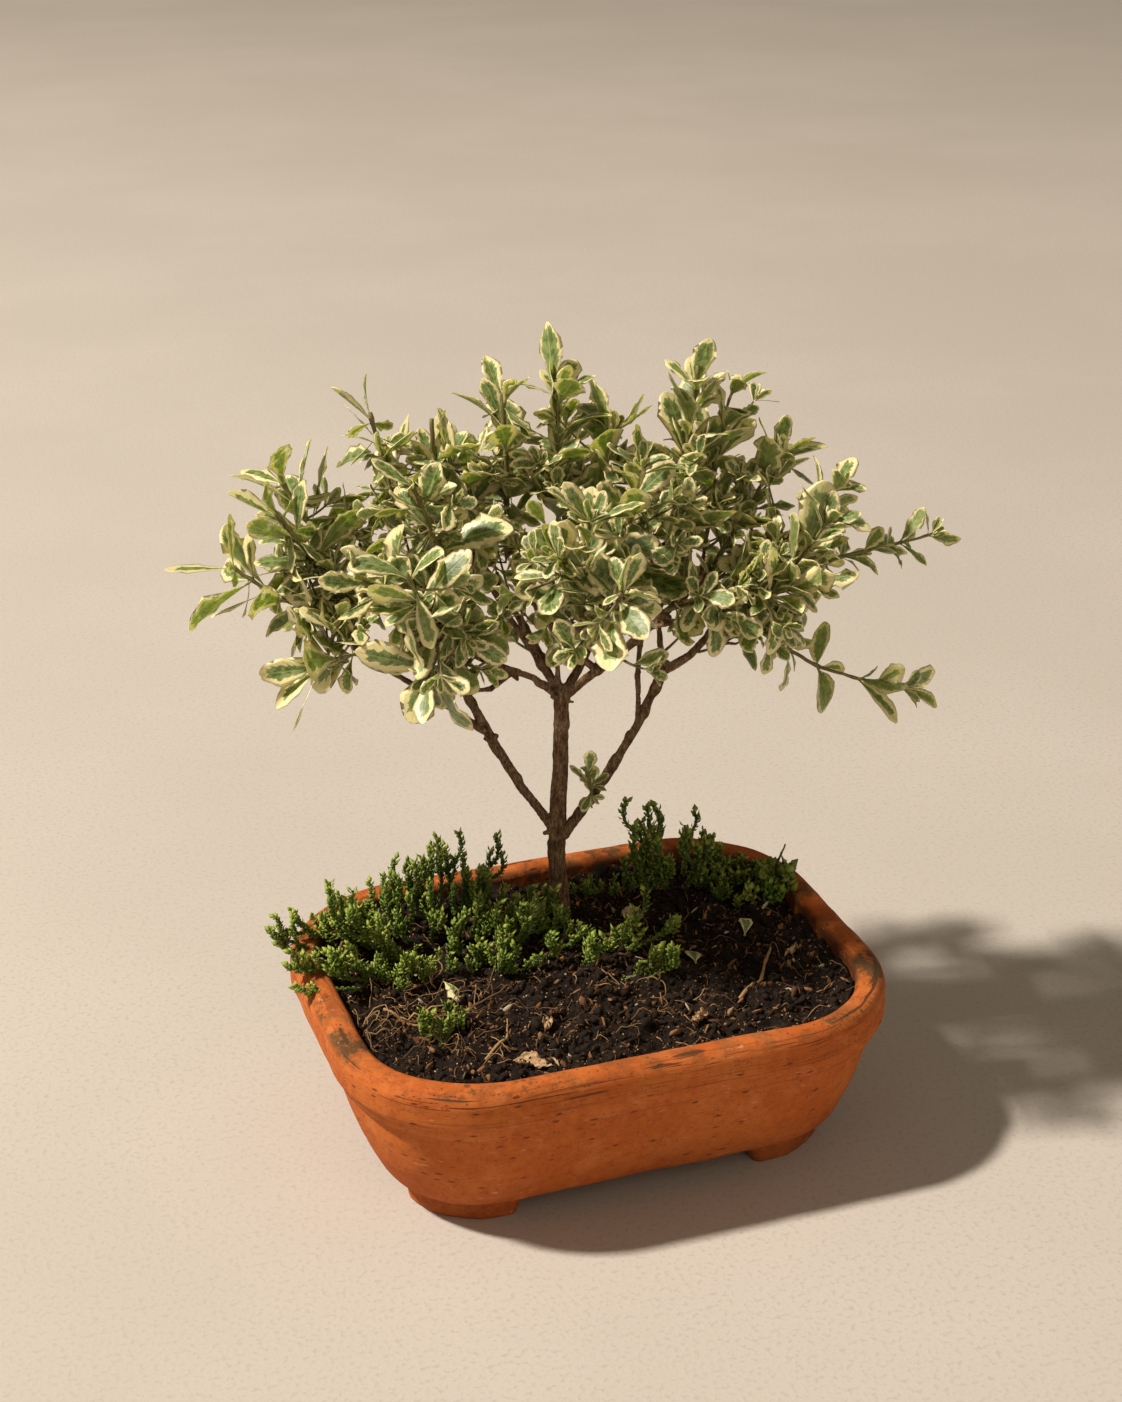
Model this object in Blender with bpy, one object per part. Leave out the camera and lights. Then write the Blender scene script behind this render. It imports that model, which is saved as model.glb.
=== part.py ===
"""A small variegated privet, trained as a bonsai, in a footed terracotta pot.

One named object stands for each piece: the pot, its drain screens, the soil, the tree's wood, each leafy
shoot, each clump of ground cover and each bit of litter on the soil. Metres, +Z up, feet on z = 0, with
+X along the pot's long side.
"""

import math

import bmesh
import bpy
import numpy as np
from mathutils import Matrix, Vector
from mathutils.bvhtree import BVHTree

# The pot: a rounded rectangle in plan, widest at its rolled rim.
POT_LENGTH = 0.240
POT_WIDTH = 0.190
POT_HEIGHT = 0.077
CORNER_RADIUS = 0.060
RIM_HEIGHT = 0.0166
RIM_WIDTH = 0.0130
RIM_ROUND = 0.0050
LEDGE = 0.0055
LEDGE_STEP = 0.0006
LEDGE_RISE = 0.0004
LEDGE_SOFTNESS = 0.35
LIP_SHARE = 0.6
INSIDE_SHARES = (0.0, 0.5, 0.86)
WALL_LEAN = 0.0190
WALL = 0.0080
FLOOR = 0.0090
FLOOR_ROUND = 0.7
LOWER_EDGE_ROUND = 0.0090
FOOT_HEIGHT = 0.0105
FOOT_THICKNESS = 0.0150
FOOT_REACH_LONG = 0.0420
FOOT_REACH_SHORT = 0.0340
FOOT_SLOPE = 0.0110
FOOT_INSET = 0.0030
FOOT_BEVEL = 0.0012
FOOT_BEVEL_HEIGHT = 0.0015
FOOT_SUNK = 0.45
ARCH_BELOW = 0.0020
ARCH_TOE = 0.2
DRAIN_RADIUS = 0.0070
DRAIN_SPACING = 0.1000
CORNER_STEPS = 5
ROUND_STEPS = 3

# The plastic screen over each drain hole.
SCREEN_SIDE = 0.0240
SCREEN_THICKNESS = 0.0008
SCREEN_HOLE = 0.0070
SCREEN_PITCH = 0.0100

# The soil, heaped a little round the trunk.
SOIL_BELOW_RIM = 0.0068
SOIL_HEAP = 0.0028
SOIL_HEAP_SPREAD = 0.0450
SOIL_ROUGHNESS = 0.0003
SOIL_RINGS = 5

# Clearance between pieces that touch.
GAP = 0.0003

# The tree. Its front is turned from the pot's long side.
TRUNK_X = 0.0065
TRUNK_FROM_BACK = 0.0465
TREE_TURN = math.radians(-18.9)
TREE_HEIGHT = 0.262
CROWN_WIDTH = 0.330
CROWN_DEPTH = 0.200
TRUNK_RADIUS = 0.0041
ROOT_FLARE = 1.35
TRUNK_TOP_RADIUS = 0.0031
LIMB_RADIUS = 0.0022
BRANCH_RADIUS = 0.0017
TWIG_RADIUS = 0.0011
TWIG_SAG = 0.06
TWIG_RUN_IN = 0.0040
ROOT_DEPTH = 0.026
ROOT_SPREAD = 0.024
ROOT_COUNT = 4
TWIG_STARTS = (0.15, 0.45, 0.80)
TWIG_TRIES = 12
STEM_STEP = 0.002
STEM_ROOM = 0.0035
SHOOT_ROOM = 0.0070

# The leafy shoots.
STEM_RADIUS = 0.0008
LEAF_LENGTH = 0.0245
LEAF_WIDTH = 0.0112
LEAF_THICKNESS = 0.0009
LEAF_FOLD = 0.22
LEAF_DROOP = 0.10
LEAF_WIDEST = 0.60
PETIOLE_END = 0.12
PETIOLE_HALF_WIDTH = 0.0006
PETIOLE_HALF_THICKNESS = 0.0005
LEAF_SUNK = 0.4
FIRST_PAIR = 0.16
LAST_PAIR_SHORT = 0.02
TIP_ROOM = 0.0004
LOW_LEAN = 66
LEAN_LOST = 30
SMALLEST_LEAF = 0.82
MIDDLE_LEAF_GAIN = 0.26
TOP_LEAF = 1.15
TOP_LEAF_SUNK = 0.0010
UPPER_SHOOTS = 13
LOWER_SHOOTS = 7
GOLDEN_ANGLE = math.pi * (3 - math.sqrt(5))
SWINGS = (0, 5, -5, 10, -10, 15, -15, 20, -20, 26, -26)

# The ground cover's fronds and the creeping mats that they rise from.
FROND_RADIUS = 0.0021
FROND_TIP_RADIUS = 0.0009
MAT_THICKNESS = 0.0045
MAT_REACH = 0.62
FROND_START = 0.70
MAT_CORNERS = 10

# The litter.
DEAD_ROOT_RADIUS = 0.0006
DEAD_TWIG_RADIUS = 0.0008
FALLEN_LEAF_LENGTH = 0.0170
LYING_LIFT = 0.0016
PEBBLE_SIZE = 0.0070

# Places in the tree are drawn in millimetres from the trunk's foot, for a tree of these sizes.
DRAWN_HEIGHT = 262
DRAWN_WIDTH = 330
DRAWN_DEPTH = 200

# Places on the soil are drawn in millimetres from the pot's middle, for a pot of these sizes.
DRAWN_POT_LENGTH = 240
DRAWN_POT_WIDTH = 190

BODY_BASE_Z = FOOT_HEIGHT
FLOOR_Z = BODY_BASE_Z + FLOOR
LEDGE_Z = POT_HEIGHT - RIM_HEIGHT
BASE_INSET = LEDGE + WALL_LEAN
SOIL_EDGE_Z = POT_HEIGHT - SOIL_BELOW_RIM
TRUNK_FOOT_Z = SOIL_EDGE_Z + SOIL_HEAP
TRUNK_Y = POT_WIDTH / 2 - TRUNK_FROM_BACK


def new_collection(name):
    made = bpy.data.collections.new(name)
    bpy.context.scene.collection.children.link(made)
    return made


def material(name, colour, roughness):
    made = bpy.data.materials.new(name)
    made.use_nodes = True
    shader = made.node_tree.nodes["Principled BSDF"]
    shader.inputs["Base Color"].default_value = (*colour, 1.0)
    shader.inputs["Roughness"].default_value = roughness
    shader.inputs["Metallic"].default_value = 0.0
    made.diffuse_color = (*colour, 1.0)
    return made


def add_object(name, mesh, collection, parent=None, finish=None):
    made = bpy.data.objects.new(name, mesh)
    collection.objects.link(made)
    made.parent = parent
    if finish:
        mesh.materials.append(finish)
    return made


def empty(name, parent, location=(0, 0, 0), turn=0.0):
    made = bpy.data.objects.new(name, None)
    bpy.context.scene.collection.objects.link(made)
    made.parent = parent
    made.location = location
    made.rotation_euler = (0, 0, turn)
    return made


def mesh_from_bmesh(name, shape):
    bmesh.ops.recalc_face_normals(shape, faces=shape.faces)
    mesh = bpy.data.meshes.new(name)
    shape.to_mesh(mesh)
    shape.free()
    return mesh


def evaluated_mesh(item):
    graph = bpy.context.evaluated_depsgraph_get()
    return bpy.data.meshes.new_from_object(item.evaluated_get(graph))


def cut_out(item, cutter, name, operation="DIFFERENCE"):
    """A live Boolean: the cutter stays in its own collection, out of the render."""
    cutter.hide_render = True
    cutter.display_type = "WIRE"
    boolean = item.modifiers.new(name, "BOOLEAN")
    boolean.operation = operation
    boolean.solver = "EXACT"
    boolean.object = cutter
    return boolean


def fuse(item, others, self_crossing=False):
    """Unions the others into the item and removes them, so that what grew as one piece is one body."""
    for other in others:
        boolean = item.modifiers.new("join", "BOOLEAN")
        boolean.operation = "UNION"
        boolean.solver = "EXACT"
        boolean.use_self = self_crossing
        boolean.object = other
    mesh = evaluated_mesh(item)
    item.modifiers.clear()
    old = item.data
    item.data = mesh
    bpy.data.meshes.remove(old)
    for other in others:
        data = other.data
        bpy.data.objects.remove(other)
        bpy.data.meshes.remove(data)
    return item


def smooth_path(points, per_span):
    """A Catmull-Rom curve through the points, with per_span steps between neighbours."""
    points = [Vector(point) for point in points]
    ends = [2 * points[0] - points[1], *points, 2 * points[-1] - points[-2]]
    path = []
    for before, start, end, after in zip(ends, ends[1:], ends[2:], ends[3:]):
        for step in range(per_span):
            t = step / per_span
            path.append(
                0.5
                * (
                    2 * start
                    + (end - before) * t
                    + (2 * before - 5 * start + 4 * end - after) * t**2
                    + (3 * start - before - 3 * end + after) * t**3
                )
            )
    path.append(points[-1])
    return path


def tapered(first, last, count):
    return [first + (last - first) * i / (count - 1) for i in range(count)]


def tube(name, path, radii, collection, resolution=1):
    """A round stem along the path: a filled, capped curve turned into a closed mesh."""
    curve = bpy.data.curves.new(name, "CURVE")
    curve.dimensions = "3D"
    curve.bevel_depth = 1.0
    curve.bevel_resolution = resolution
    curve.use_fill_caps = True
    spline = curve.splines.new("POLY")
    spline.points.add(len(path) - 1)
    for spot, point, radius in zip(spline.points, path, radii):
        spot.co = (*point, 1.0)
        spot.radius = radius
    bent = bpy.data.objects.new(name, curve)
    collection.objects.link(bent)
    mesh = evaluated_mesh(bent)
    bpy.data.objects.remove(bent)
    bpy.data.curves.remove(curve)
    shape = bmesh.new()
    shape.from_mesh(mesh)
    bpy.data.meshes.remove(mesh)
    bmesh.ops.remove_doubles(shape, verts=shape.verts, dist=0.00001)
    made = bpy.data.objects.new(name, mesh_from_bmesh(name, shape))
    collection.objects.link(made)
    return made


def tree_of(item, frame=None):
    """The item's faces, in its own frame or moved by the frame given, for finding what crosses it."""
    frame = frame or Matrix()
    return BVHTree.FromPolygons(
        [frame @ vertex.co for vertex in item.data.vertices],
        [tuple(face.vertices) for face in item.data.polygons],
    )


# The pot


def plan_ring(inset, heights):
    """The pot's outline in plan, moved in by inset: four arcs joined by straight sides."""
    half_length = POT_LENGTH / 2 - inset
    half_width = POT_WIDTH / 2 - inset
    radius = min(max(CORNER_RADIUS - inset, 0.1 * half_width), 0.98 * half_width)
    ring = []
    for quarter, (sign_x, sign_y) in enumerate([(1, 1), (-1, 1), (-1, -1), (1, -1)]):
        centre_x = sign_x * (half_length - radius)
        centre_y = sign_y * (half_width - radius)
        for step in range(CORNER_STEPS + 1):
            angle = math.pi / 2 * (quarter + step / CORNER_STEPS)
            x = centre_x + radius * math.cos(angle)
            y = centre_y + radius * math.sin(angle)
            z = heights(x, y) if callable(heights) else heights
            ring.append((x, y, z))
    return ring


def loft(name, rings, closed_loop=False):
    """Skins the rings, all with the same number of points, and caps both ends unless they meet."""
    shape = bmesh.new()
    rows = [[shape.verts.new(point) for point in ring] for ring in rings]
    pairs = list(zip(rows, rows[1:]))
    if closed_loop:
        pairs.append((rows[-1], rows[0]))
    for low, high in pairs:
        for i, corner in enumerate(low):
            after = (i + 1) % len(low)
            shape.faces.new((corner, low[after], high[after], high[i]))
    if not closed_loop:
        shape.faces.new(rows[0])
        shape.faces.new(rows[-1])
    return mesh_from_bmesh(name, shape)


def arc(centre_inset, centre_z, radius, first, last, steps):
    """Points (inset, z) on an arc. Angle 0 points outwards and 90 degrees up."""
    turned = []
    for step in range(steps + 1):
        angle = math.radians(first + (last - first) * step / steps)
        turned.append(
            (centre_inset - radius * math.cos(angle), centre_z + radius * math.sin(angle))
        )
    return turned


def wall_inset(z):
    """How far the wall's outside stands in from the rim's outside at this height."""
    return LEDGE + WALL_LEAN * (LEDGE_Z - z) / (LEDGE_Z - BODY_BASE_Z)


def inner_inset(z):
    return max(wall_inset(z) + WALL, RIM_WIDTH)


def pot_profile():
    """(inset, z) up the outside from the underside, over the rolled rim, and down the inside to the floor."""
    lean = math.degrees(math.atan2(WALL_LEAN, LEDGE_Z - BODY_BASE_Z))
    edge_z = BODY_BASE_Z + LOWER_EDGE_ROUND
    edge_centre = wall_inset(edge_z) + LOWER_EDGE_ROUND * math.cos(math.radians(lean))
    outside = arc(edge_centre, edge_z, LOWER_EDGE_ROUND, -90, -lean, ROUND_STEPS)
    outside.append((wall_inset(LEDGE_Z), LEDGE_Z - LEDGE_STEP))
    outside.append((RIM_ROUND * LEDGE_SOFTNESS, LEDGE_Z + LEDGE_RISE))
    outside.append((0.0, LEDGE_Z + RIM_ROUND * 0.5))
    top = arc(RIM_ROUND, POT_HEIGHT - RIM_ROUND, RIM_ROUND, 0, 90, ROUND_STEPS)
    lip_round = RIM_ROUND * LIP_SHARE
    lip = arc(RIM_WIDTH - lip_round, POT_HEIGHT - lip_round, lip_round, 90, 180, ROUND_STEPS)
    inside = []
    for share in INSIDE_SHARES:
        z = LEDGE_Z + (FLOOR_Z - LEDGE_Z) * share
        inside.append((inner_inset(z), z))
    floor = [(inner_inset(FLOOR_Z) + WALL * FLOOR_ROUND, FLOOR_Z)]
    return outside + top + lip + inside + floor


def foot_ring_mesh():
    """The skirt under the body that the arches cut into four corner feet."""
    outer_top = BODY_BASE_Z + LOWER_EDGE_ROUND * FOOT_SUNK
    outer = BASE_INSET + FOOT_INSET
    inner = outer + FOOT_THICKNESS
    rings = [
        plan_ring(outer + FOOT_BEVEL, 0.0),
        plan_ring(outer, FOOT_BEVEL_HEIGHT),
        plan_ring(outer, outer_top),
        plan_ring(inner, outer_top),
        plan_ring(inner, 0.0),
    ]
    return loft("foot_ring", rings, closed_loop=True)


def arch_cutter(name, half_gap, reach, turn, collection, parent):
    """A low arch between two feet, cut right across the pot: a flat outline with an extrusion."""
    curve = bpy.data.curves.new(name, "CURVE")
    curve.dimensions = "2D"
    curve.fill_mode = "BOTH"
    curve.extrude = reach
    spline = curve.splines.new("POLY")
    toe = half_gap + FOOT_SLOPE * ARCH_TOE
    outline = [(-toe, -ARCH_BELOW), (toe, -ARCH_BELOW)]
    for sign in (1, -1):
        bend = []
        for step in range(ROUND_STEPS + 1):
            angle = math.pi / 2 * step / ROUND_STEPS
            across = half_gap - FOOT_SLOPE * (1 - math.cos(angle))
            bend.append((sign * across, FOOT_HEIGHT * math.sin(angle)))
        outline += bend if sign > 0 else bend[::-1]
    spline.points.add(len(outline) - 1)
    for spot, (across, up) in zip(spline.points, outline):
        spot.co = (across, up, 0, 1)
    spline.use_cyclic_u = True
    flat = bpy.data.objects.new(name, curve)
    collection.objects.link(flat)
    mesh = evaluated_mesh(flat)
    bpy.data.objects.remove(flat)
    bpy.data.curves.remove(curve)
    shape = bmesh.new()
    shape.from_mesh(mesh)
    bmesh.ops.remove_doubles(shape, verts=shape.verts, dist=0.00001)
    stand_up = Matrix.Rotation(turn, 4, "Z") @ Matrix.Rotation(math.pi / 2, 4, "X")
    bmesh.ops.transform(shape, matrix=stand_up, verts=shape.verts)
    return add_object(name, mesh_from_bmesh(name, shape), collection, parent)


def drain_places():
    return (-DRAIN_SPACING / 2, DRAIN_SPACING / 2)


def make_pot(parts, cutters, parent):
    rings = [plan_ring(inset, z) for inset, z in pot_profile()]
    pot = add_object(
        "pot", loft("pot", rings), parts, parent, material("terracotta", (0.56, 0.19, 0.06), 0.85)
    )
    feet = add_object("foot_ring", foot_ring_mesh(), cutters, parent)
    flat_length = POT_LENGTH / 2 - BASE_INSET
    flat_width = POT_WIDTH / 2 - BASE_INSET
    along = arch_cutter(
        "arch_under_long_sides", flat_length - FOOT_REACH_LONG, POT_WIDTH, 0.0, cutters, parent
    )
    across = arch_cutter(
        "arch_under_short_sides",
        flat_width - FOOT_REACH_SHORT,
        POT_LENGTH,
        math.pi / 2,
        cutters,
        parent,
    )
    cut_out(feet, along, "arch along")
    cut_out(feet, across, "arch across")
    cut_out(pot, feet, "feet", "UNION")
    for number, x in enumerate(drain_places(), 1):
        shape = bmesh.new()
        bmesh.ops.create_cone(
            shape,
            cap_ends=True,
            segments=16,
            radius1=DRAIN_RADIUS,
            radius2=DRAIN_RADIUS,
            depth=4 * FLOOR,
        )
        hole = add_object(
            f"drain_hole_{number}", mesh_from_bmesh("drain_hole", shape), cutters, parent
        )
        hole.location = (x, 0, FLOOR_Z - FLOOR / 2)
        cut_out(pot, hole, f"drain {number}")
    return pot


def make_drain_screens(parts, cutters, parent):
    """A square of plastic mesh on the floor over each drain hole."""
    finish = material("screen_plastic", (0.03, 0.05, 0.03), 0.6)
    for side, x in zip(("left", "right"), drain_places()):
        shape = bmesh.new()
        bmesh.ops.create_cube(shape, size=1.0)
        bmesh.ops.scale(
            shape, vec=(SCREEN_SIDE, SCREEN_SIDE, SCREEN_THICKNESS), verts=shape.verts
        )
        screen = add_object(
            f"drain_screen_{side}", mesh_from_bmesh("drain_screen", shape), parts, parent, finish
        )
        screen.location = (x, 0, FLOOR_Z + GAP + SCREEN_THICKNESS / 2)
        holes = bmesh.new()
        for column in (-0.5, 0.5):
            for row in (-0.5, 0.5):
                place = Matrix.Translation((column * SCREEN_PITCH, row * SCREEN_PITCH, 0))
                size = Matrix.Diagonal((SCREEN_HOLE, SCREEN_HOLE, 4 * SCREEN_THICKNESS, 1))
                bmesh.ops.create_cube(holes, size=1.0, matrix=place @ size)
        punch = add_object(
            f"screen_holes_{side}", mesh_from_bmesh("screen_holes", holes), cutters, parent
        )
        punch.location = screen.location
        cut_out(screen, punch, "mesh holes")


# The soil


def soil_height(x, y):
    """A low heap round the trunk on an even bed, with slight unevenness."""
    away = ((x - TRUNK_X) ** 2 + (y - TRUNK_Y) ** 2) / SOIL_HEAP_SPREAD**2
    ripple = math.sin(x * 190 + 1.3) * math.cos(y * 230) + 0.6 * math.sin(x * 90 - y * 310)
    return SOIL_EDGE_Z + SOIL_HEAP * math.exp(-away) + SOIL_ROUGHNESS * ripple


def make_soil(parts, parent):
    bottom_z = FLOOR_Z + SCREEN_THICKNESS + 2 * GAP
    rings = [plan_ring(inner_inset(FLOOR_Z) + WALL * FLOOR_ROUND + GAP, bottom_z)]
    for share in (0.14, 0.5):
        z = FLOOR_Z + (LEDGE_Z - FLOOR_Z) * share
        rings.append(plan_ring(inner_inset(z) + 2 * GAP, z))
    edge = inner_inset(LEDGE_Z) + 2 * GAP
    rings.append(plan_ring(edge, LEDGE_Z))
    rings.append(plan_ring(edge, soil_height))
    innermost = POT_WIDTH / 2 - 0.006
    for i in range(1, SOIL_RINGS + 1):
        inset = edge + (innermost - edge) * i / SOIL_RINGS
        rings.append(plan_ring(inset, soil_height))
    soil = add_object(
        "soil", loft("soil", rings), parts, parent, material("soil_earth", (0.035, 0.022, 0.015), 0.95)
    )
    flat = soil.modifiers.new("flat facets", "TRIANGULATE")
    flat.min_vertices = 5
    return soil


# The tree's wood


def place(point):
    """A drawn point, stretched to the tree's own sizes, in metres from the trunk's foot."""
    x, y, z = point
    return Vector(
        (
            x * CROWN_WIDTH / DRAWN_WIDTH,
            y * CROWN_DEPTH / DRAWN_DEPTH,
            z * TREE_HEIGHT / DRAWN_HEIGHT,
        )
    )


TRUNK = [(0, 0, 0), (-2, 0, 29), (0, 0, 69), (1, 0, 106)]

# Each limb or branch: its points, its radius where it starts, and where it ends.
LIMBS = {
    "left_limb": (
        [(-2, 0, 38), (-18, 0, 62), (-30, 0, 84), (-40, 0, 105), (-46, -2, 132), (-58, -5, 160)],
        LIMB_RADIUS,
        BRANCH_RADIUS,
    ),
    "left_low_branch": (
        [(-33, 0, 88), (-62, -10, 114), (-84, -14, 130), (-98, -12, 146)],
        0.75 * BRANCH_RADIUS,
        TWIG_RADIUS,
    ),
    "right_limb": (
        [(1, 0, 36), (14, 0, 55), (33, 0, 88), (45, 0, 115), (56, 0, 122), (68, 0, 136), (88, 0, 136)],
        LIMB_RADIUS,
        BRANCH_RADIUS,
    ),
    "right_twig_inner": ([(34, 0, 91), (34, 3, 115), (36, 10, 155)], TWIG_RADIUS, TWIG_RADIUS),
    "right_twig_outer": ([(45, 0, 115), (43, 4, 132), (44, 10, 158)], TWIG_RADIUS, TWIG_RADIUS),
    "crown_left": (
        [(0, 0, 103), (-11, -6, 115), (-33, -16, 128), (-50, -26, 142), (-66, -32, 156)],
        BRANCH_RADIUS,
        TWIG_RADIUS,
    ),
    "crown_left_stick": (
        [(-18, -9, 120), (-29, -18, 115), (-51, -26, 117)],
        TWIG_RADIUS,
        TWIG_RADIUS,
    ),
    "crown_upper_left": (
        [(0, 1, 104), (-12, 5, 124), (-24, 8, 142), (-34, 16, 162)],
        BRANCH_RADIUS,
        TWIG_RADIUS,
    ),
    "crown_upright": ([(0, 1, 104), (-2, 4, 133), (-3, 8, 165)], TWIG_RADIUS, TWIG_RADIUS),
    "crown_right": (
        [(1, 0, 102), (12, -4, 114), (32, -8, 132), (46, -8, 146), (62, -14, 164)],
        LIMB_RADIUS,
        TWIG_RADIUS,
    ),
    "crown_crossing": (
        [(16, -5, 118), (4, -4, 128), (-6, -14, 146), (-12, -28, 160)],
        BRANCH_RADIUS,
        TWIG_RADIUS,
    ),
    "crown_middle": (
        [(2, 1, 104), (11, 8, 118), (19, 20, 135), (34, 34, 160)],
        LIMB_RADIUS,
        TWIG_RADIUS,
    ),
    "crown_back_left": (
        [(0, 2, 104), (-12, 20, 123), (-28, 40, 142), (-46, 54, 160)],
        BRANCH_RADIUS,
        TWIG_RADIUS,
    ),
    "crown_back_right": (
        [(10, 8, 117), (22, 26, 130), (40, 46, 146), (56, 60, 160)],
        BRANCH_RADIUS,
        TWIG_RADIUS,
    ),
    "crown_stub": ([(16, -5, 118), (18, -6, 128)], TWIG_RADIUS, TWIG_RADIUS),
}


def root_tubes(extra, collection):
    """The rootstock and its roots under the soil, each fatter and longer by extra."""
    foot = TRUNK_RADIUS * ROOT_FLARE
    stock_path = [Vector((0, 0, -ROOT_DEPTH - extra)), Vector((0, 0, -0.010)), Vector((0, 0, 0.004))]
    if extra:
        stock_path.append(Vector((0, 0, 0.014)))
    stock_radii = [TRUNK_RADIUS * 0.5 + extra, foot + extra, TRUNK_RADIUS + extra, TRUNK_RADIUS + extra]
    tubes = [tube("stock", stock_path, stock_radii[: len(stock_path)], collection, 2)]
    for number in range(ROOT_COUNT):
        angle = 2 * math.pi * (number + 0.35) / ROOT_COUNT
        outward = Vector((math.cos(angle), math.sin(angle), 0))
        tip = outward * ROOT_SPREAD - Vector((0, 0, ROOT_DEPTH))
        bend = outward * ROOT_SPREAD * 0.5 - Vector((0, 0, ROOT_DEPTH * 0.45))
        along = (tip - bend).normalized()
        path = [Vector((0, 0, -0.008)), bend, tip + along * extra]
        radii = [value + extra for value in (TRUNK_RADIUS * 0.7, TRUNK_RADIUS * 0.5, TWIG_RADIUS)]
        tubes.append(tube(f"root_{number}", path, radii, collection))
    return tubes


def make_root_cutter(cutters, parent):
    tubes = root_tubes(GAP, cutters)
    cutter = fuse(tubes[0], tubes[1:])
    cutter.name = "root_space"
    cutter.parent = parent
    return cutter


def make_wood(parts, cutters, parent, twigs):
    """Trunk, limbs, twigs and roots, unioned into the one piece that they grew as."""
    path = smooth_path([place(point) for point in TRUNK], 3)
    wood = tube(
        "trunk_and_branches",
        path,
        tapered(TRUNK_RADIUS, TRUNK_TOP_RADIUS, len(path)),
        parts,
        2,
    )
    grown = root_tubes(0.0, cutters)
    for name, (points, first, last) in LIMBS.items():
        path = [place(point) for point in points]
        grown.append(tube(name, path, tapered(first, last, len(path)), cutters))
    for number, path in enumerate(twigs):
        radii = tapered(TWIG_RADIUS * 0.9, STEM_RADIUS, len(path))
        grown.append(tube(f"twig_{number}", path, radii, cutters, 0))
    fuse(wood, grown)
    wood.parent = parent
    wood.data.materials.clear()
    wood.data.materials.append(material("bark", (0.16, 0.10, 0.06), 0.9))
    return wood


def limb_points():
    """Points along the outer half of every limb, which the twigs start from, each at most once."""
    found = []
    for name, (points, _, _) in LIMBS.items():
        if name in ("crown_stub", "crown_left_stick"):
            continue
        path = [place(point) for point in points]
        for start, end in list(zip(path, path[1:]))[len(path) // 2 - 1 :]:
            found += [start.lerp(end, share) for share in TWIG_STARTS]
    return found


def samples(path):
    """Points every STEM_STEP or so along a path, as rows."""
    rows = []
    for start, end in zip(path, path[1:]):
        count = max(2, math.ceil((end - start).length / STEM_STEP))
        rows += [tuple(start.lerp(end, i / count)) for i in range(count + 1)]
    return np.array(rows)


def room(path, taken):
    """The least distance between this path and the paths already taken."""
    own = samples(path)[:, None, :]
    return min((np.linalg.norm(own - rows[None], axis=2).min() for rows in taken), default=1.0)


def twig_path(start, foot, towards):
    end = foot - towards * GAP
    middle = (start + end) / 2 + Vector((0, 0, -TWIG_SAG * (end - start).length))
    return [start, middle, end - towards * TWIG_RUN_IN, end]


def twig_to(foot, towards, starts, stems):
    """A twig to the shoot's foot from the nearest free start that leaves the other stems clear."""
    below = [point for point in starts if point.z < foot.z - TWIG_RUN_IN]
    below.sort(key=lambda point: (point - foot).length)
    for start in below[:TWIG_TRIES]:
        path = twig_path(start, foot, towards)
        if room(path, stems) > STEM_ROOM:
            break
    else:
        path = twig_path(below[0], foot, towards)
    starts.remove(path[0])
    return path


# The one shoot that grows straight from a limb, with no twig.
LIMB_SPROUT = "limb_sprout"

# The leafy shoots. Each is drawn by its foot, its bend and its tip, in drawn millimetres, then the number
# of leaf pairs, the size of its leaves, the bare share of its tip, and the turn of its first pair.
SHOOTS = {
    "top": ((0, 8, 172), (1, 9, 200), (0, 10, 232), 5, 1.05, 0.0, 80),
    "left_tip": ((-100, -10, 149), (-118, -8, 158), (-136, -6, 171), 5, 0.95, 0.0, 70),
    "left_upper": ((-96, -8, 156), (-101, -5, 180), (-114, -4, 203), 5, 0.95, 0.0, 20),
    "left_lower": ((-86, -16, 134), (-94, -20, 134), (-102, -24, 132), 4, 1.0, 0.0, 75),
    "left_cut_twig": ((-50, 4, 166), (-52, 8, 200), (-52, 10, 230), 4, 1.0, 0.38, 35),
    "left_crown": ((-62, 2, 166), (-70, 6, 198), (-77, 10, 226), 4, 0.85, 0.0, 60),
    "middle_cut_twig": ((-22, 10, 166), (-21, 10, 205), (-23, 10, 244), 6, 1.0, 0.14, 15),
    "right_cut_twig": ((52, 0, 162), (53, 0, 208), (58, 0, 252), 7, 1.0, 0.12, 75),
    "right_crown": ((62, 4, 170), (66, 4, 204), (71, 4, 236), 5, 0.9, 0.0, 25),
    "right_cluster": ((72, -10, 158), (92, -10, 175), (114, -10, 199), 6, 0.95, 0.0, 40),
    "right_long": ((90, 0, 154), (120, 0, 167), (157, 0, 176), 6, 0.62, 0.0, 85),
    "right_lower": ((90, -2, 134), (113, -3, 120), (146, -3, 113), 4, 0.85, 0.0, 85),
    "front_left": ((-50, -44, 143), (-51, -52, 140), (-53, -60, 139), 3, 1.15, 0.0, 65),
    "front_left_high": ((-36, -30, 146), (-44, -42, 158), (-52, -52, 172), 4, 1.0, 0.0, 30),
    "front_middle": ((-8, -24, 158), (-10, -40, 172), (-12, -54, 186), 5, 0.95, 0.0, 60),
    "front_right": ((44, -22, 152), (58, -34, 160), (72, -44, 170), 4, 1.0, 0.0, 15),
    "right_under": ((70, -8, 142), (80, -16, 144), (92, -24, 148), 4, 0.9, 0.0, 50),
    "front_slant": ((20, -14, 150), (36, -20, 176), (50, -24, 198), 5, 1.0, 0.0, 10),
    LIMB_SPROUT: ((14, -3.2, 57), (13, -8, 64), (12, -10, 71), 3, 0.66, 0.0, 80),
}


def crown_top(share):
    """The drawn height of the crown's top at this share of the way out from its middle."""
    return 168 + 60 * (1 - share**3)


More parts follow.
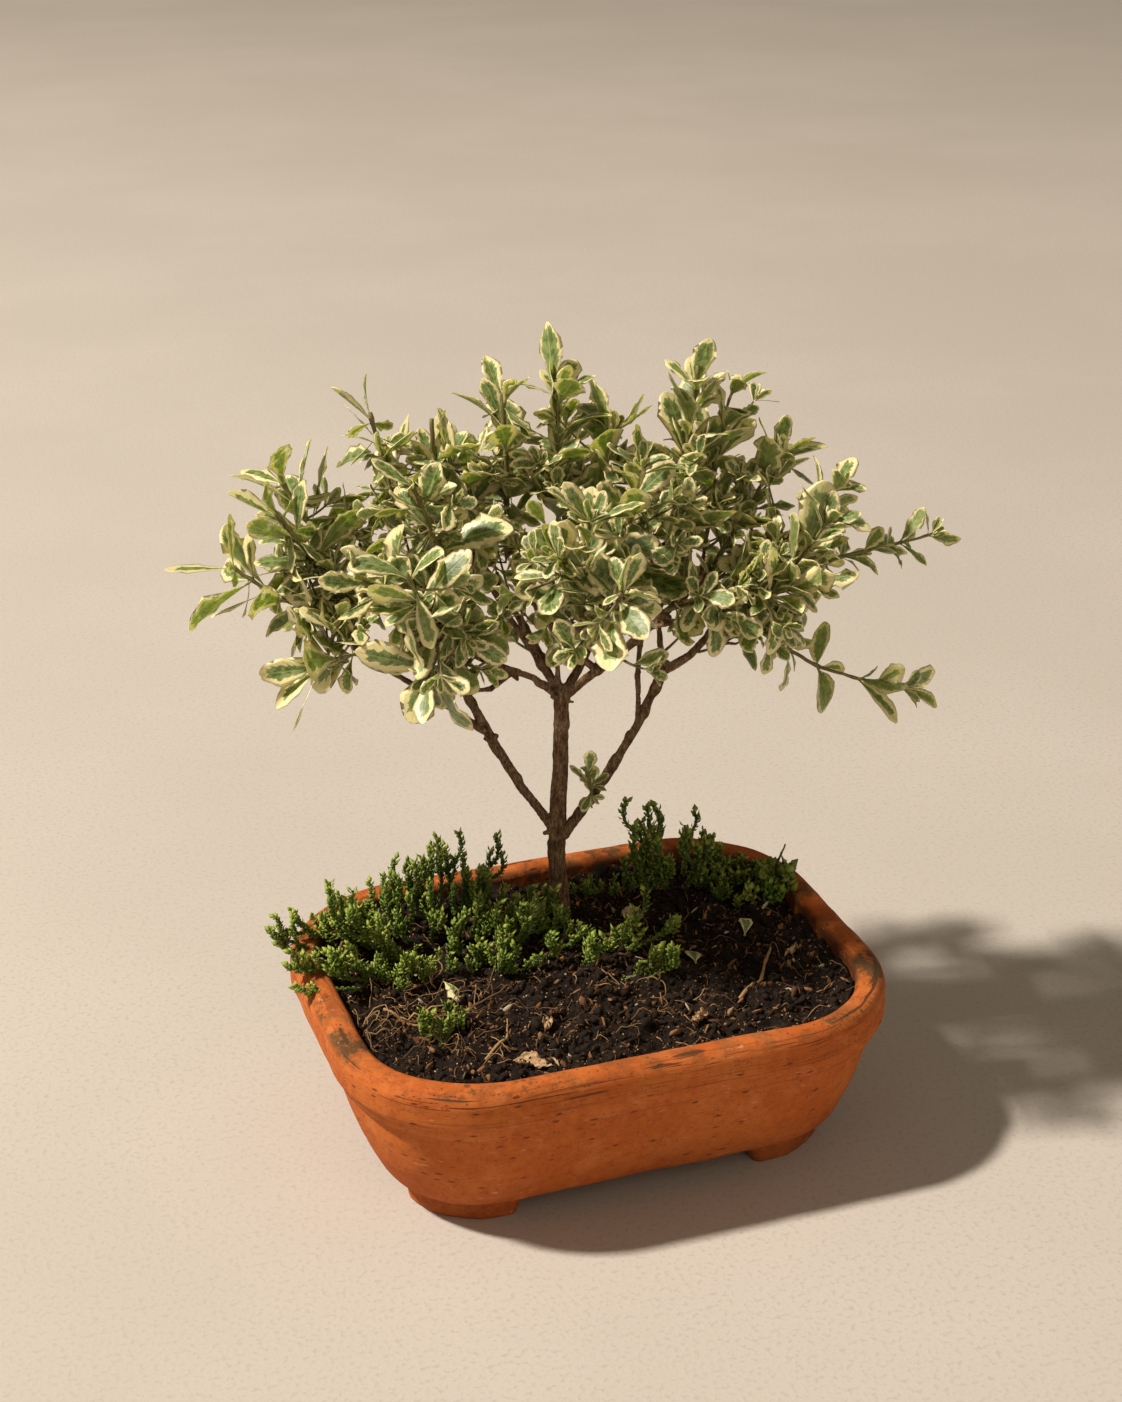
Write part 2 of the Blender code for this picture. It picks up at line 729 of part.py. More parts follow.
def spread_shoots():
    """Fills the crown between the drawn shoots: an upper and a lower layer, turned by the golden angle."""
    made = {}
    for i in range(UPPER_SHOOTS):
        share = math.sqrt((i + 0.5) / UPPER_SHOOTS) * 0.84
        angle = i * GOLDEN_ANGLE + 0.6
        out_x = math.cos(angle) * share * DRAWN_WIDTH / 2
        out_y = math.sin(angle) * share * DRAWN_DEPTH / 2 * 0.92
        tip = (out_x, out_y, crown_top(share) - 10)
        foot = (out_x * 0.72, out_y * 0.72, tip[2] - 46)
        bend = (out_x * 0.86, out_y * 0.86, tip[2] - 25)
        made[f"upper_{i + 1:02d}"] = (foot, bend, tip, 5, 1.0, 0.0, 50 * (i % 4))
    for i in range(LOWER_SHOOTS):
        angle = (i + 0.5) * 2 * math.pi / LOWER_SHOOTS
        out_x = math.cos(angle) * 0.70 * DRAWN_WIDTH / 2
        out_y = math.sin(angle) * 0.78 * DRAWN_DEPTH / 2
        foot = (out_x * 0.62, out_y * 0.62, 152 - 0.10 * out_y)
        bend = (out_x * 0.82, out_y * 0.82, 156 - 0.16 * out_y)
        tip = (out_x, out_y, 164 - 0.22 * out_y)
        made[f"lower_{i + 1:02d}"] = (foot, bend, tip, 5, 0.95, 0.0, 40 * (i % 4) + 10)
    return made


def leaf_shape(length):
    """One leaf along +Y, face up: a flattened lens with a raised margin and a drooping tip."""
    shape = bmesh.new()
    bmesh.ops.create_uvsphere(shape, u_segments=4, v_segments=3, radius=1.0)
    width = LEAF_WIDTH * length / LEAF_LENGTH
    for vertex in shape.verts:
        along = (1 + vertex.co.z) / 2
        blade = along > 0.5
        if 0.01 < along < 0.99:
            share = LEAF_WIDEST if blade else PETIOLE_END
            across = width / 2 if blade else PETIOLE_HALF_WIDTH
            thick = LEAF_THICKNESS / 2 if blade else PETIOLE_HALF_THICKNESS
            ring = max(abs(vertex.co.x), abs(vertex.co.y))
            x = vertex.co.x / ring * across
            z = vertex.co.y / ring * thick + LEAF_FOLD * abs(x)
        else:
            share = along
            x = 0.0
            z = 0.0
        vertex.co = (x, share * length, z - LEAF_DROOP * share**2 * length)
    bmesh.ops.recalc_face_normals(shape, faces=shape.faces)
    return shape


def leaf_matrix(foot, stem, side, lean):
    """Sets a leaf at the foot, leaning off the stem by lean towards side, its face to the shoot's tip."""
    along = (stem * math.cos(lean) + side * math.sin(lean)).normalized()
    face = (stem - along * stem.dot(along)).normalized()
    across = along.cross(face)
    turned = Matrix((across, along, face)).transposed().to_4x4()
    return Matrix.Translation(foot + along * LEAF_SUNK * STEM_RADIUS) @ turned


def side_of(stem, angle):
    """A direction square to the stem, turned by angle from the level one."""
    level = stem.cross(Vector((0, 0, 1)))
    if level.length < 0.2:
        level = stem.cross(Vector((0, 1, 0)))
    level.normalize()
    return Matrix.Rotation(angle, 3, stem) @ level


def crosses(shape, others):
    own = BVHTree.FromBMesh(shape)
    return any(own.overlap(other) for other in others)


def add_leaf(leaves, foot, stem, angle, lean, length, others):
    """Adds a leaf where it meets no other shoot: it turns aside a little, or is shorter, or is left out."""
    for turn, share in ((0, 1.0), (25, 1.0), (-25, 1.0), (0, 0.7), (45, 0.7), (-45, 0.7)):
        shape = leaf_shape(length * share)
        side = side_of(stem, angle + math.radians(turn))
        bmesh.ops.transform(
            shape, matrix=leaf_matrix(foot, stem, side, lean), verts=shape.verts
        )
        if crosses(shape, others):
            shape.free()
            continue
        mesh = bpy.data.meshes.new("leaf")
        shape.to_mesh(mesh)
        shape.free()
        leaves.from_mesh(mesh)
        bpy.data.meshes.remove(mesh)
        return


def make_stem(name, path, parts, parent):
    radii = tapered(STEM_RADIUS * 1.1, STEM_RADIUS * 0.8, len(path))
    stem = tube(f"shoot_{name}", path, radii, parts, 0)
    stem.parent = parent
    return stem


def grow_leaves(name, shoot, drawn, others, cutters, finish):
    """Leaves in pairs along a green stem, each pair square to the last, grown with it as one piece."""
    pairs, size, bare, first_turn = drawn[3:]
    path = stem_path(drawn)
    leaves = bmesh.new()
    steps = len(path) - 1
    for pair in range(pairs):
        leafy = 1 - bare - FIRST_PAIR - LAST_PAIR_SHORT
        share = FIRST_PAIR + leafy * pair / max(pairs - 1, 1)
        spot = min(int(share * steps), steps - 1)
        stem = (path[spot + 1] - path[spot]).normalized()
        origin = path[spot].lerp(path[spot + 1], share * steps - spot)
        origin -= stem * max(0.0, TIP_ROOM - stem.dot(path[-1] - origin))
        lean = math.radians(LOW_LEAN - LEAN_LOST * share)
        length = LEAF_LENGTH * size * (SMALLEST_LEAF + MIDDLE_LEAF_GAIN * math.sin(math.pi * share))
        turn = math.radians(first_turn + 90 * pair + 11 * (pair % 3))
        for half in (0, math.pi):
            add_leaf(leaves, origin, stem, turn + half, lean, length, others)
    if name == "top":
        stem = (path[-1] - path[-2]).normalized()
        spot = path[-1] - stem * TOP_LEAF_SUNK
        add_leaf(leaves, spot, stem, 0.0, math.radians(6), LEAF_LENGTH * TOP_LEAF, others)
    mesh = mesh_from_bmesh("leaves", leaves)
    blades = add_object("leaves", mesh, cutters, shoot.parent)
    fuse(shoot, [blades], self_crossing=True)
    shoot.data.materials.clear()
    shoot.data.materials.append(finish)


def turned_shoot(drawn, turn):
    """The same shoot, swung round the trunk by turn."""
    swing = Matrix.Rotation(turn, 3, "Z")
    points = [swing @ Vector(point) for point in drawn[:3]]
    return (*points, *drawn[3:])


def stem_path(drawn):
    return [place(point) for point in drawn[:3]]


def settle_shoots():
    """Swings each shoot a little round the trunk until its stem is clear of the limbs and other stems."""
    taken = []
    for points, _, _ in LIMBS.values():
        taken.append(samples([place(point) for point in points]))
    settled = {}
    for name, drawn in {**SHOOTS, **spread_shoots()}.items():
        for turn in SWINGS if name != LIMB_SPROUT else (0,):
            tried = turned_shoot(drawn, math.radians(turn))
            if room(stem_path(tried), taken) > SHOOT_ROOM:
                break
        settled[name] = tried
        taken.append(samples(stem_path(tried)))
    return settled


def make_tree(parts, cutters, parent):
    shoots = settle_shoots()
    stems = {name: stem_path(drawn) for name, drawn in shoots.items()}
    starts = limb_points()
    twigs = []
    for name, (foot, bend, _) in stems.items():
        if name == LIMB_SPROUT:
            continue
        others = [samples(path) for other, path in stems.items() if other != name]
        twigs.append(twig_to(foot, (bend - foot).normalized(), starts, others))
    wood = make_wood(parts, cutters, parent, twigs)
    finish = material("variegated_leaf", (0.33, 0.40, 0.16), 0.5)
    made = {name: make_stem(name, path, parts, parent) for name, path in stems.items()}
    trees = {name: tree_of(stem) for name, stem in made.items()}
    trees["wood"] = tree_of(wood)
    for name, drawn in shoots.items():
        others = [tree for other, tree in trees.items() if other != name]
        grow_leaves(name, made[name], drawn, others, cutters, finish)
        trees[name] = tree_of(made[name])
    return wood


# The ground cover: creeping clumps of scaly fronds. Each is drawn by its middle, its reach, its fronds'
# height and lean, all in drawn millimetres, and by how many fronds it has.
GROUND_COVER = {
    "left_back": ((-46, 56), (40, 18), 46, (0, 4), 15),
    "left_rim": ((-84, 34), (20, 26), 30, (-20, 3), 12),
    "left_front": ((-26, 16), (20, 14), 17, (2, -6), 8),
    "front_sprig": ((8, -12), (18, 22), 18, (6, 2), 8),
    "front_left_frond": ((-76, -38), (16, 16), 11, (4, 6), 5),
    "back_right": ((64, 58), (28, 14), 38, (0, 4), 10),
    "right": ((92, 26), (10, 22), 17, (2, 2), 7),
}

# How far a frond may be drawn in towards its clump's middle to stay clear of its neighbours.
FROND_PULLS = (1.0, 0.6, 0.2)


def on_bed(x, y, lift=0.0):
    """A drawn place on the soil, moved with the pot's size, in metres."""
    across = x * POT_LENGTH / DRAWN_POT_LENGTH
    along = y * POT_WIDTH / DRAWN_POT_WIDTH
    return Vector((across, along, lift / 1000))


def ground_at(soil_faces, x, y):
    """The height of the soil's surface."""
    return soil_faces.ray_cast(Vector((x, y, 1.0)), Vector((0, 0, -1)))[0].z


def mat_mesh(middle, reach_x, reach_y, soil_faces):
    """A creeping mat that follows the soil: thick in the middle and thin at its edge."""
    shape = bmesh.new()
    base = ground_at(soil_faces, *middle) + 2 * GAP
    poles = [shape.verts.new((*middle, base)), shape.verts.new((*middle, base + MAT_THICKNESS))]
    rows = []
    for share, up in ((0.55, 0.0), (1.0, 0.15), (0.55, 0.8)):
        row = []
        for corner in range(MAT_CORNERS):
            angle = 2 * math.pi * corner / MAT_CORNERS
            x = middle[0] + reach_x * share * math.cos(angle)
            y = middle[1] + reach_y * share * math.sin(angle)
            z = ground_at(soil_faces, x, y) + 2 * GAP + up * MAT_THICKNESS
            row.append(shape.verts.new((x, y, z)))
        rows.append(row)
    for corner in range(MAT_CORNERS):
        after = (corner + 1) % MAT_CORNERS
        shape.faces.new((poles[0], rows[0][after], rows[0][corner]))
        shape.faces.new((poles[1], rows[2][corner], rows[2][after]))
        for low, high in zip(rows, rows[1:]):
            shape.faces.new((low[corner], low[after], high[after]))
            shape.faces.new((low[corner], high[after], high[corner]))
    return mesh_from_bmesh("mat", shape)


def frond_path(middle, out, height, lean, soil_faces):
    """A frond's course: up from inside the mat, then over towards its tip."""
    start = middle + out * MAT_REACH * FROND_START
    start.z = ground_at(soil_faces, *start.xy) + 2 * GAP + 0.4 * MAT_THICKNESS
    tip = start + out * 0.5 + lean + Vector((0, 0, height))
    return [start, start.lerp(tip, 0.4) + Vector((0, 0, height * 0.2)), tip]


def make_fronds(middle, reach, height, lean, count, soil_faces, others, cutters):
    """A clump's fronds, the tallest in the middle, leaving out any with no room."""
    grown = []
    radii = [FROND_RADIUS, FROND_RADIUS * 0.9, FROND_TIP_RADIUS]
    for i in range(count):
        share = math.sqrt((i + 0.5) / count)
        angle = i * GOLDEN_ANGLE
        out = Vector((reach[0] * math.cos(angle), reach[1] * math.sin(angle), 0)) * share
        rise = (height - MAT_THICKNESS) * (1.0 - 0.4 * share * share)
        for pull in FROND_PULLS:
            path = frond_path(middle, out * pull, rise, lean * pull, soil_faces)
            frond = tube(f"frond_{i}", path, radii, cutters, 0)
            own = tree_of(frond)
            if not any(own.overlap(other) for other in others):
                grown.append(frond)
                break
            bpy.data.objects.remove(frond)
    return grown


def make_ground_cover(soil_faces, others, parts, cutters, parent):
    finish = material("ground_cover_green", (0.10, 0.20, 0.03), 0.6)
    for name, ((x, y), reach, height, lean, count) in GROUND_COVER.items():
        middle = on_bed(x, y)
        reach = [value / 1000 for value in reach]
        lean = Vector((*lean, 0)) / 1000
        mat = mat_mesh(middle.xy, reach[0] * MAT_REACH, reach[1] * MAT_REACH, soil_faces)
        clump = add_object(f"ground_cover_{name}", mat, parts)
        fronds = make_fronds(
            middle, reach, height / 1000, lean, count, soil_faces, others, cutters
        )
        fuse(clump, fronds)
        clump.parent = parent
        clump.data.materials.clear()
        clump.data.materials.append(finish)
        others.append(tree_of(clump))


# Litter on the soil. Each dead stem is drawn by points with a lift over the soil where it starts.
DEAD_STEMS = {
    "dead_root_left": ([(-92, -10, 0), (-80, -22, 1), (-64, -18, 0)], DEAD_ROOT_RADIUS),
    "dead_root_front": ([(-62, -56, 0), (-50, -48, 1), (-44, -30, 0)], DEAD_ROOT_RADIUS),
    "dead_twig_right": ([(52, -48, 0), (66, -38, 0), (80, -18, 0)], DEAD_TWIG_RADIUS),
    "dead_stalk_right": ([(103, 34, 0), (106, 36, 14), (112, 38, 22)], DEAD_ROOT_RADIUS),
}

# Each lying leaf is drawn by its petiole's place, the turn of its length and its length's share.
LYING_LEAVES = {
    "fallen_leaf_left": (-60, -6, 290, 0.95),
    "fallen_leaf_middle": (46, -12, 75, 0.95),
    "fallen_leaf_right": (76, 0, 60, 1.05),
}
DRY_LEAF = (-44, -66, -35, 1.05)
PEBBLE = (34, 34)


def make_dead_stem(name, points, radius, soil_faces, parts, parent, finish):
    path = [on_bed(*point) for point in points]
    for point in path:
        point.z += radius + 2 * GAP + ground_at(soil_faces, *(path[0] if point.z > 0.002 else point).xy)
    stem = tube(name, smooth_path(path, 2), [radius] * (2 * len(path) - 1), parts)
    stem.parent = parent
    stem.data.materials.append(finish)


def make_lying_leaf(name, drawn, soil_faces, parts, parent, finish):
    x, y, turn, share = drawn
    length = FALLEN_LEAF_LENGTH * share
    shape = leaf_shape(length)
    where = on_bed(x, y)
    where.z = ground_at(soil_faces, *where.xy) + LYING_LIFT + LEAF_DROOP * length
    turned = Matrix.Translation(where) @ Matrix.Rotation(math.radians(turn), 4, "Z")
    bmesh.ops.transform(shape, matrix=turned, verts=shape.verts)
    add_object(name, mesh_from_bmesh(name, shape), parts, parent, finish)


def make_pebble(soil_faces, parts, parent):
    shape = bmesh.new()
    bmesh.ops.create_icosphere(shape, subdivisions=1, radius=PEBBLE_SIZE / 2)
    bmesh.ops.scale(shape, vec=(1.0, 0.76, 0.6), verts=shape.verts)
    where = on_bed(*PEBBLE)
    where.z = ground_at(soil_faces, *where.xy) + PEBBLE_SIZE * 0.3 + 3 * GAP
    bmesh.ops.translate(shape, vec=where, verts=shape.verts)
    stone = material("pebble_stone", (0.55, 0.50, 0.42), 0.8)
    add_object("pebble_tan", mesh_from_bmesh("pebble_tan", shape), parts, parent, stone)


def make_litter(soil_faces, parts, parent):
    pale = material("dead_stem", (0.45, 0.33, 0.18), 0.8)
    dry = material("dry_leaf", (0.55, 0.38, 0.20), 0.8)
    fallen = material("fallen_leaf", (0.45, 0.50, 0.22), 0.6)
    for name, (points, radius) in DEAD_STEMS.items():
        make_dead_stem(name, points, radius, soil_faces, parts, parent, pale)
    make_lying_leaf("dry_leaf_front", DRY_LEAF, soil_faces, parts, parent, dry)
    for name, drawn in LYING_LEAVES.items():
        make_lying_leaf(name, drawn, soil_faces, parts, parent, fallen)
    make_pebble(soil_faces, parts, parent)


def centre_on_origin(root, parts):
    """Moves the whole object so that its box is centred over the origin."""
    bpy.context.view_layer.update()
    graph = bpy.context.evaluated_depsgraph_get()
    corners = []
    for item in parts.objects:
        solid = item.evaluated_get(graph)
        mesh = solid.to_mesh()
        points = np.empty(len(mesh.vertices) * 3)
        mesh.vertices.foreach_get("co", points)
        world = np.array(solid.matrix_world)
        corners.append(points.reshape(-1, 3) @ world[:3, :3].T + world[:3, 3])
        solid.to_mesh_clear()
    everything = np.concatenate(corners)
    middle = (everything.min(axis=0) + everything.max(axis=0)) / 2
    root.location = (-middle[0], -middle[1], 0)


def shade(parts):
    for item in parts.objects:
        item.data.shade_smooth()
        item.data.set_sharp_from_angle(angle=math.radians(35))


def main():
    for item in list(bpy.data.objects):
        bpy.data.objects.remove(item)
    parts = new_collection("potted_bonsai")
    cutters = new_collection("cutters")
    root = empty("bonsai_root", None)
    foot = Vector((TRUNK_X, TRUNK_Y, TRUNK_FOOT_Z))
    stand = empty("tree_stand", root, foot, TREE_TURN)
    stand_place = Matrix.Translation(foot) @ Matrix.Rotation(TREE_TURN, 4, "Z")
    pot = make_pot(parts, cutters, root)
    make_drain_screens(parts, cutters, root)
    soil = make_soil(parts, root)
    soil_faces = tree_of(soil)
    wood = make_tree(parts, cutters, stand)
    cut_out(soil, make_root_cutter(cutters, stand), "root space")
    others = [tree_of(pot), tree_of(wood, stand_place)]
    make_ground_cover(soil_faces, others, parts, cutters, root)
    make_litter(soil_faces, parts, root)
    shade(parts)
    centre_on_origin(root, parts)


main()
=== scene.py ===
"""A small variegated privet trained as a bonsai, in a footed terracotta pot with ground cover on its soil."""

import math
from collections import namedtuple

import bmesh
import bpy
import numpy as np
from mathutils import Matrix, Vector


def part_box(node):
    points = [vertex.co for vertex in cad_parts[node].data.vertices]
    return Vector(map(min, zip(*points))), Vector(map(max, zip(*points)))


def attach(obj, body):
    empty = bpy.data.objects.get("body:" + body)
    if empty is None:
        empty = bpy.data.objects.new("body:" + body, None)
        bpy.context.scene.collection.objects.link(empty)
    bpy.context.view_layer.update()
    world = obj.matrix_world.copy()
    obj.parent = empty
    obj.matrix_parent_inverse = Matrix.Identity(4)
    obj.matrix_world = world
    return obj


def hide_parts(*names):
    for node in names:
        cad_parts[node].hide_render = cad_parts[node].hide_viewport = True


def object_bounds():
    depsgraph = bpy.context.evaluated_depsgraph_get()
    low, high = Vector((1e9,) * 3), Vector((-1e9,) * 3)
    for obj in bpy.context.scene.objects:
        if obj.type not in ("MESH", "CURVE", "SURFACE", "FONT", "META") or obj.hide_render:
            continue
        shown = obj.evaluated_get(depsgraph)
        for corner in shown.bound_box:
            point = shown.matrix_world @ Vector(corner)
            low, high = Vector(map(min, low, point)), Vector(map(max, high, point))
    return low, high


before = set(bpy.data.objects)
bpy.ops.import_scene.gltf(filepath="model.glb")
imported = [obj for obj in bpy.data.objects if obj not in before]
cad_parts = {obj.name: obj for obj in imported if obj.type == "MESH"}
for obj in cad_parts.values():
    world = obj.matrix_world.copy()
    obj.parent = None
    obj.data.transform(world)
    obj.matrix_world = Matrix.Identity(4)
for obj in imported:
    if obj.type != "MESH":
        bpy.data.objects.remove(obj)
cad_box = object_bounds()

# The room: a pale plastered floor, a warm lamp far off and high on the left, and a weak broad one in front.
# An even warm sky fills the shade. The camera stands half a metre above the rim and looks down at the tree.

pot_low, pot_high = (np.array(corner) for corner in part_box("pot"))
POT_MIDDLE = np.array([*(pot_low + pot_high)[:2] / 2, 0.0])

CAMERA_PLACE = (-0.3005, -0.8506, 0.5905)
CAMERA_HEADING = (0.3238, 0.9461)
CAMERA_PITCH = math.radians(23.65)
CAMERA_ROLL = 0.0092
CAMERA_LENS = 61.6
SENSOR_WIDTH = 36

ahead = Vector((*CAMERA_HEADING, -math.tan(CAMERA_PITCH))).normalized()
across = ahead.cross(Vector((0, 0, 1))).normalized()
aim = Matrix((across, across.cross(ahead), -ahead)).transposed() @ Matrix.Rotation(-CAMERA_ROLL, 3, "Z")
camera_data = bpy.data.cameras.new("camera")
camera_data.lens = CAMERA_LENS
camera_data.sensor_width = SENSOR_WIDTH
camera_data.clip_start = 0.01
camera = bpy.data.objects.new("camera", camera_data)
camera.matrix_world = Matrix.Translation(POT_MIDDLE + CAMERA_PLACE) @ aim.to_4x4()
bpy.context.scene.collection.objects.link(camera)
bpy.context.scene.camera = camera

AIM_HEIGHT = 0.12


def lamp(name, place, size, power, colour):
    """A square soft lamp. Its place is given from the point it is aimed at, inside the object."""
    data = bpy.data.lights.new(name, "AREA")
    data.size = size
    data.energy = power
    data.color = colour
    made = bpy.data.objects.new(name, data)
    made.location = Vector(POT_MIDDLE) + Vector((0, 0, AIM_HEIGHT)) + Vector(place)
    made.rotation_euler = (-Vector(place)).to_track_quat("-Z", "Y").to_euler()
    bpy.context.scene.collection.objects.link(made)


lamp("warm_key", (-3.7, 0.82, 4.8), 0.4, 775, (1.0, 0.91, 0.79))
lamp("pale_fill", (0.4, -2.6, 1.3), 2.4, 17, (1.0, 0.89, 0.72))

sky = bpy.data.worlds.new("pale_sky")
sky.use_nodes = True
sky.node_tree.nodes["Background"].inputs["Color"].default_value = (1.0, 0.82, 0.61, 1)
sky.node_tree.nodes["Background"].inputs["Strength"].default_value = 0.28
bpy.context.scene.world = sky
bpy.context.scene.view_settings.view_transform = "Standard"
bpy.context.scene.view_settings.exposure = -0.5


class Wire:
    """An output of a shader node. Sums written with wires add the Math nodes that work them out."""

    def __init__(self, finish, socket):
        self.finish = finish
        self.socket = socket

    def math(self, operation, *others):
        """This wire, and others after it, through one Math node."""
        return self.finish.node("ShaderNodeMath", self, *others, operation=operation)

    def __mul__(self, other):
        return self.math("MULTIPLY", other)

    def __add__(self, other):
        return self.math("ADD", other)

    def __sub__(self, other):
        return self.math("SUBTRACT", other)

    def __rsub__(self, other):
        return self.finish.node("ShaderNodeMath", other, self, operation="SUBTRACT")

    def between(self, low, high, out_low=0.0, out_high=1.0):
        """Maps low..high to out_low..out_high along a smooth step."""
        limits = (low, high, out_low, out_high)
        return self.finish.node("ShaderNodeMapRange", self, *limits, interpolation_type="SMOOTHSTEP")

    def parts(self):
        """The three numbers of a vector."""
        made = self.finish.node("ShaderNodeSeparateXYZ", self).socket.node
        return [Wire(self.finish, outlet) for outlet in made.outputs]


class Finish:
    """A material under construction: its Principled shader, and short ways to add the nodes that feed it.
    Its patterns follow the place on the piece, unless they are given another vector."""

    def __init__(self, name, roughness=0.6):
        self.material = bpy.data.materials.new(name)
        self.material.use_nodes = True
        self.tree = self.material.node_tree
        self.shader = self.tree.nodes["Principled BSDF"]
        self.shader.inputs["Roughness"].default_value = roughness
        self.where = self.node("ShaderNodeTexCoord", outlet="Object")

    def feed(self, socket, value):
        """Links a wire to a socket, or sets the socket to a plain value."""
        if isinstance(value, Wire):
            self.tree.links.new(value.socket, socket)
        else:
            socket.default_value = (*value, 1.0) if socket.type == "RGBA" else value

    def node(self, kind, *inlets, outlet=0, **named):
        """Adds a node and returns one of its outputs. Inlets feed its sockets in order, and named ones by
        name. A name in small letters is one of the node's properties instead."""
        made = self.tree.nodes.new(kind)
        for key, value in named.items():
            if key.islower():
                setattr(made, key, value)
        for key, value in [*enumerate(inlets), *named.items()]:
            if not str(key).islower():
                self.feed(made.inputs[key], value)
        return Wire(self, made.outputs[outlet])

    def noise(self, scale, detail=3.0, roughness=0.55, vector=None):
        """A cloudy pattern, from 0 to 1."""
        place = vector or self.where
        return self.node("ShaderNodeTexNoise", Vector=place, Scale=scale, Detail=detail, Roughness=roughness)

    def mix(self, share, first, second, blend="MIX"):
        """Mixes two colours: all first at 0, all second at 1."""
        made = self.node("ShaderNodeMix", data_type="RGBA", blend_type=blend).socket.node
        for place, value in ((0, share), (6, first), (7, second)):
            self.feed(made.inputs[place], value)
        return Wire(self, made.outputs[2])

    def tint(self, mask, strength, colour):
        """Lays a colour over the finish, as far as the mask times the strength."""
        self.colour = self.mix(mask * strength, self.colour, colour)

    def bump(self, height, strength, distance, **below):
        """A normal tilted by a height that changes over the surface. Below may hold the Normal under it."""
        return self.node("ShaderNodeBump", Height=height, Strength=strength, Distance=distance, **below)

    def attribute(self, name, outlet="Fac"):
        return self.node("ShaderNodeAttribute", attribute_name=name, outlet=outlet)

    def vector(self, x, y, z):
        return self.node("ShaderNodeCombineXYZ", x, y, z)

    def stretched(self, *scale):
        """The place on the piece, with each axis multiplied by its own number."""
        return self.node("ShaderNodeMapping", Vector=self.where, Scale=scale)

    def scaled(self, scale, vector=None):
        """The place on the piece, or another vector, multiplied by one number."""
        place = vector or self.where
        return self.node("ShaderNodeVectorMath", operation="SCALE", Vector=place, Scale=scale)

    def effect(self, group, outlet="Mask", vector=None, **inlets):
        """Adds a shared effect and returns the named one of its outputs."""
        place = vector or self.where
        return self.node("ShaderNodeGroup", node_tree=group.tree, outlet=outlet, Vector=place, **inlets)

    def feed_shader(self, **inlets):
        """Feeds the finish's colour, and what else is given, to the Principled shader."""
        for key, value in {"Base_Color": self.colour, **inlets}.items():
            self.feed(self.shader.inputs[key.replace("_", " ")], value)


def stand(piece, finishes, slot, nodes=()):
    """Puts a piece in the scene in its finishes. With a slot, it rides on the root body."""
    for finish in finishes:
        piece.data.materials.append(finish.material)
    bpy.context.scene.collection.objects.link(piece)
    if slot:
        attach(piece, "root")
        if nodes:
            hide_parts(*nodes)
    return piece


def surface(name, points, face_sets, finishes, slot, nodes=(), marks=None, finish_numbers=None, weld=None):
    """Puts worked-out points and faces into a mesh piece. Marks are its attributes, one value for each point.
    Points nearer to each other than weld are made one."""
    points = np.asarray(points, dtype=np.float32).reshape(-1, 3)
    face_sets = [np.asarray(faces, dtype=np.int32) for faces in face_sets if len(faces)]
    corners = np.concatenate([faces.ravel() for faces in face_sets])
    sizes = np.concatenate([np.full(len(faces), faces.shape[1]) for faces in face_sets])
    mesh = bpy.data.meshes.new(name)
    mesh.vertices.add(len(points))
    mesh.vertices.foreach_set("co", points.ravel())
    mesh.loops.add(len(corners))
    mesh.loops.foreach_set("vertex_index", corners)
    mesh.polygons.add(len(sizes))
    mesh.polygons.foreach_set("loop_start", (np.cumsum(sizes) - sizes).astype(np.int32))
    for key, values in (marks or {}).items():
        values = np.asarray(values, dtype=np.float32)
        kind, field = ("FLOAT_VECTOR", "vector") if values.ndim > 1 else ("FLOAT", "value")
        mesh.attributes.new(key, kind, "POINT").data.foreach_set(field, values.ravel())
    if finish_numbers is not None:
        mesh.polygons.foreach_set("material_index", finish_numbers.astype(np.int32))
    mesh.update(calc_edges=True)
    if weld:
        shape = bmesh.new()
        shape.from_mesh(mesh)
        bmesh.ops.remove_doubles(shape, verts=shape.verts, dist=weld)
        shape.to_mesh(mesh)
        shape.free()
    mesh.shade_smooth()
    return stand(bpy.data.objects.new(name, mesh), finishes, slot, nodes)


plaster = Finish("pale_plaster", 0.85)
cloud = plaster.noise(3.0, 5.0)
grain = plaster.noise(420.0, 2.0)
plaster.colour = plaster.mix(cloud.between(0.35, 0.7), (0.515, 0.475, 0.43), (0.55, 0.508, 0.465))
plaster.tint(grain.between(0.5, 0.72), 1.0, (0.47, 0.43, 0.385))
plaster.feed_shader(Normal=plaster.bump(grain, 0.25, 0.0006))

FLOOR_REACH = 9.0
corners = np.array([[-1, -1, 0], [1, -1, 0], [1, 1, 0], [-1, 1, 0]]) * FLOOR_REACH
floor = surface("floor", corners, [np.array([[0, 1, 2, 3]])], [plaster], None)

# The pot: red earthenware, pressed in a mould and wiped along its rim with a wet rag before firing.
# It is fired unglazed, so it keeps its pits, its drag lines and a few scuffs. Algae has settled on the rim.

POT_LENGTH = 0.24
POT_WIDTH = 0.19
POT_HEIGHT = 0.077
CORNER_RADIUS = 0.06
RIM_HEIGHT = 0.0166
RIM_ROUND = 0.0062
LIP_ROUND = 0.0044
LEDGE = 0.0055
LEDGE_HEIGHT = POT_HEIGHT - RIM_HEIGHT
LEDGE_ROUND = 0.003
WALL_LEAN = 0.019
WALL_BULGE = 0.0022
FLOOR_TOP = 0.0195
FOOT_HEIGHT = 0.0105
LOWER_EDGE_ROUND = 0.0105
SOIL_EDGE_HEIGHT = 0.0702
LONGEST_STEP = 0.0022
DRAIN_RADIUS = 0.007
DRAIN_PLACE = 0.05
INSIDE_WALL = ((0.0134, 0.069), (0.0137, 0.064), (0.015, 0.055), (0.02, 0.04), (0.0272, 0.0225))
HALF_POT = np.array([POT_LENGTH, POT_WIDTH]) / 2
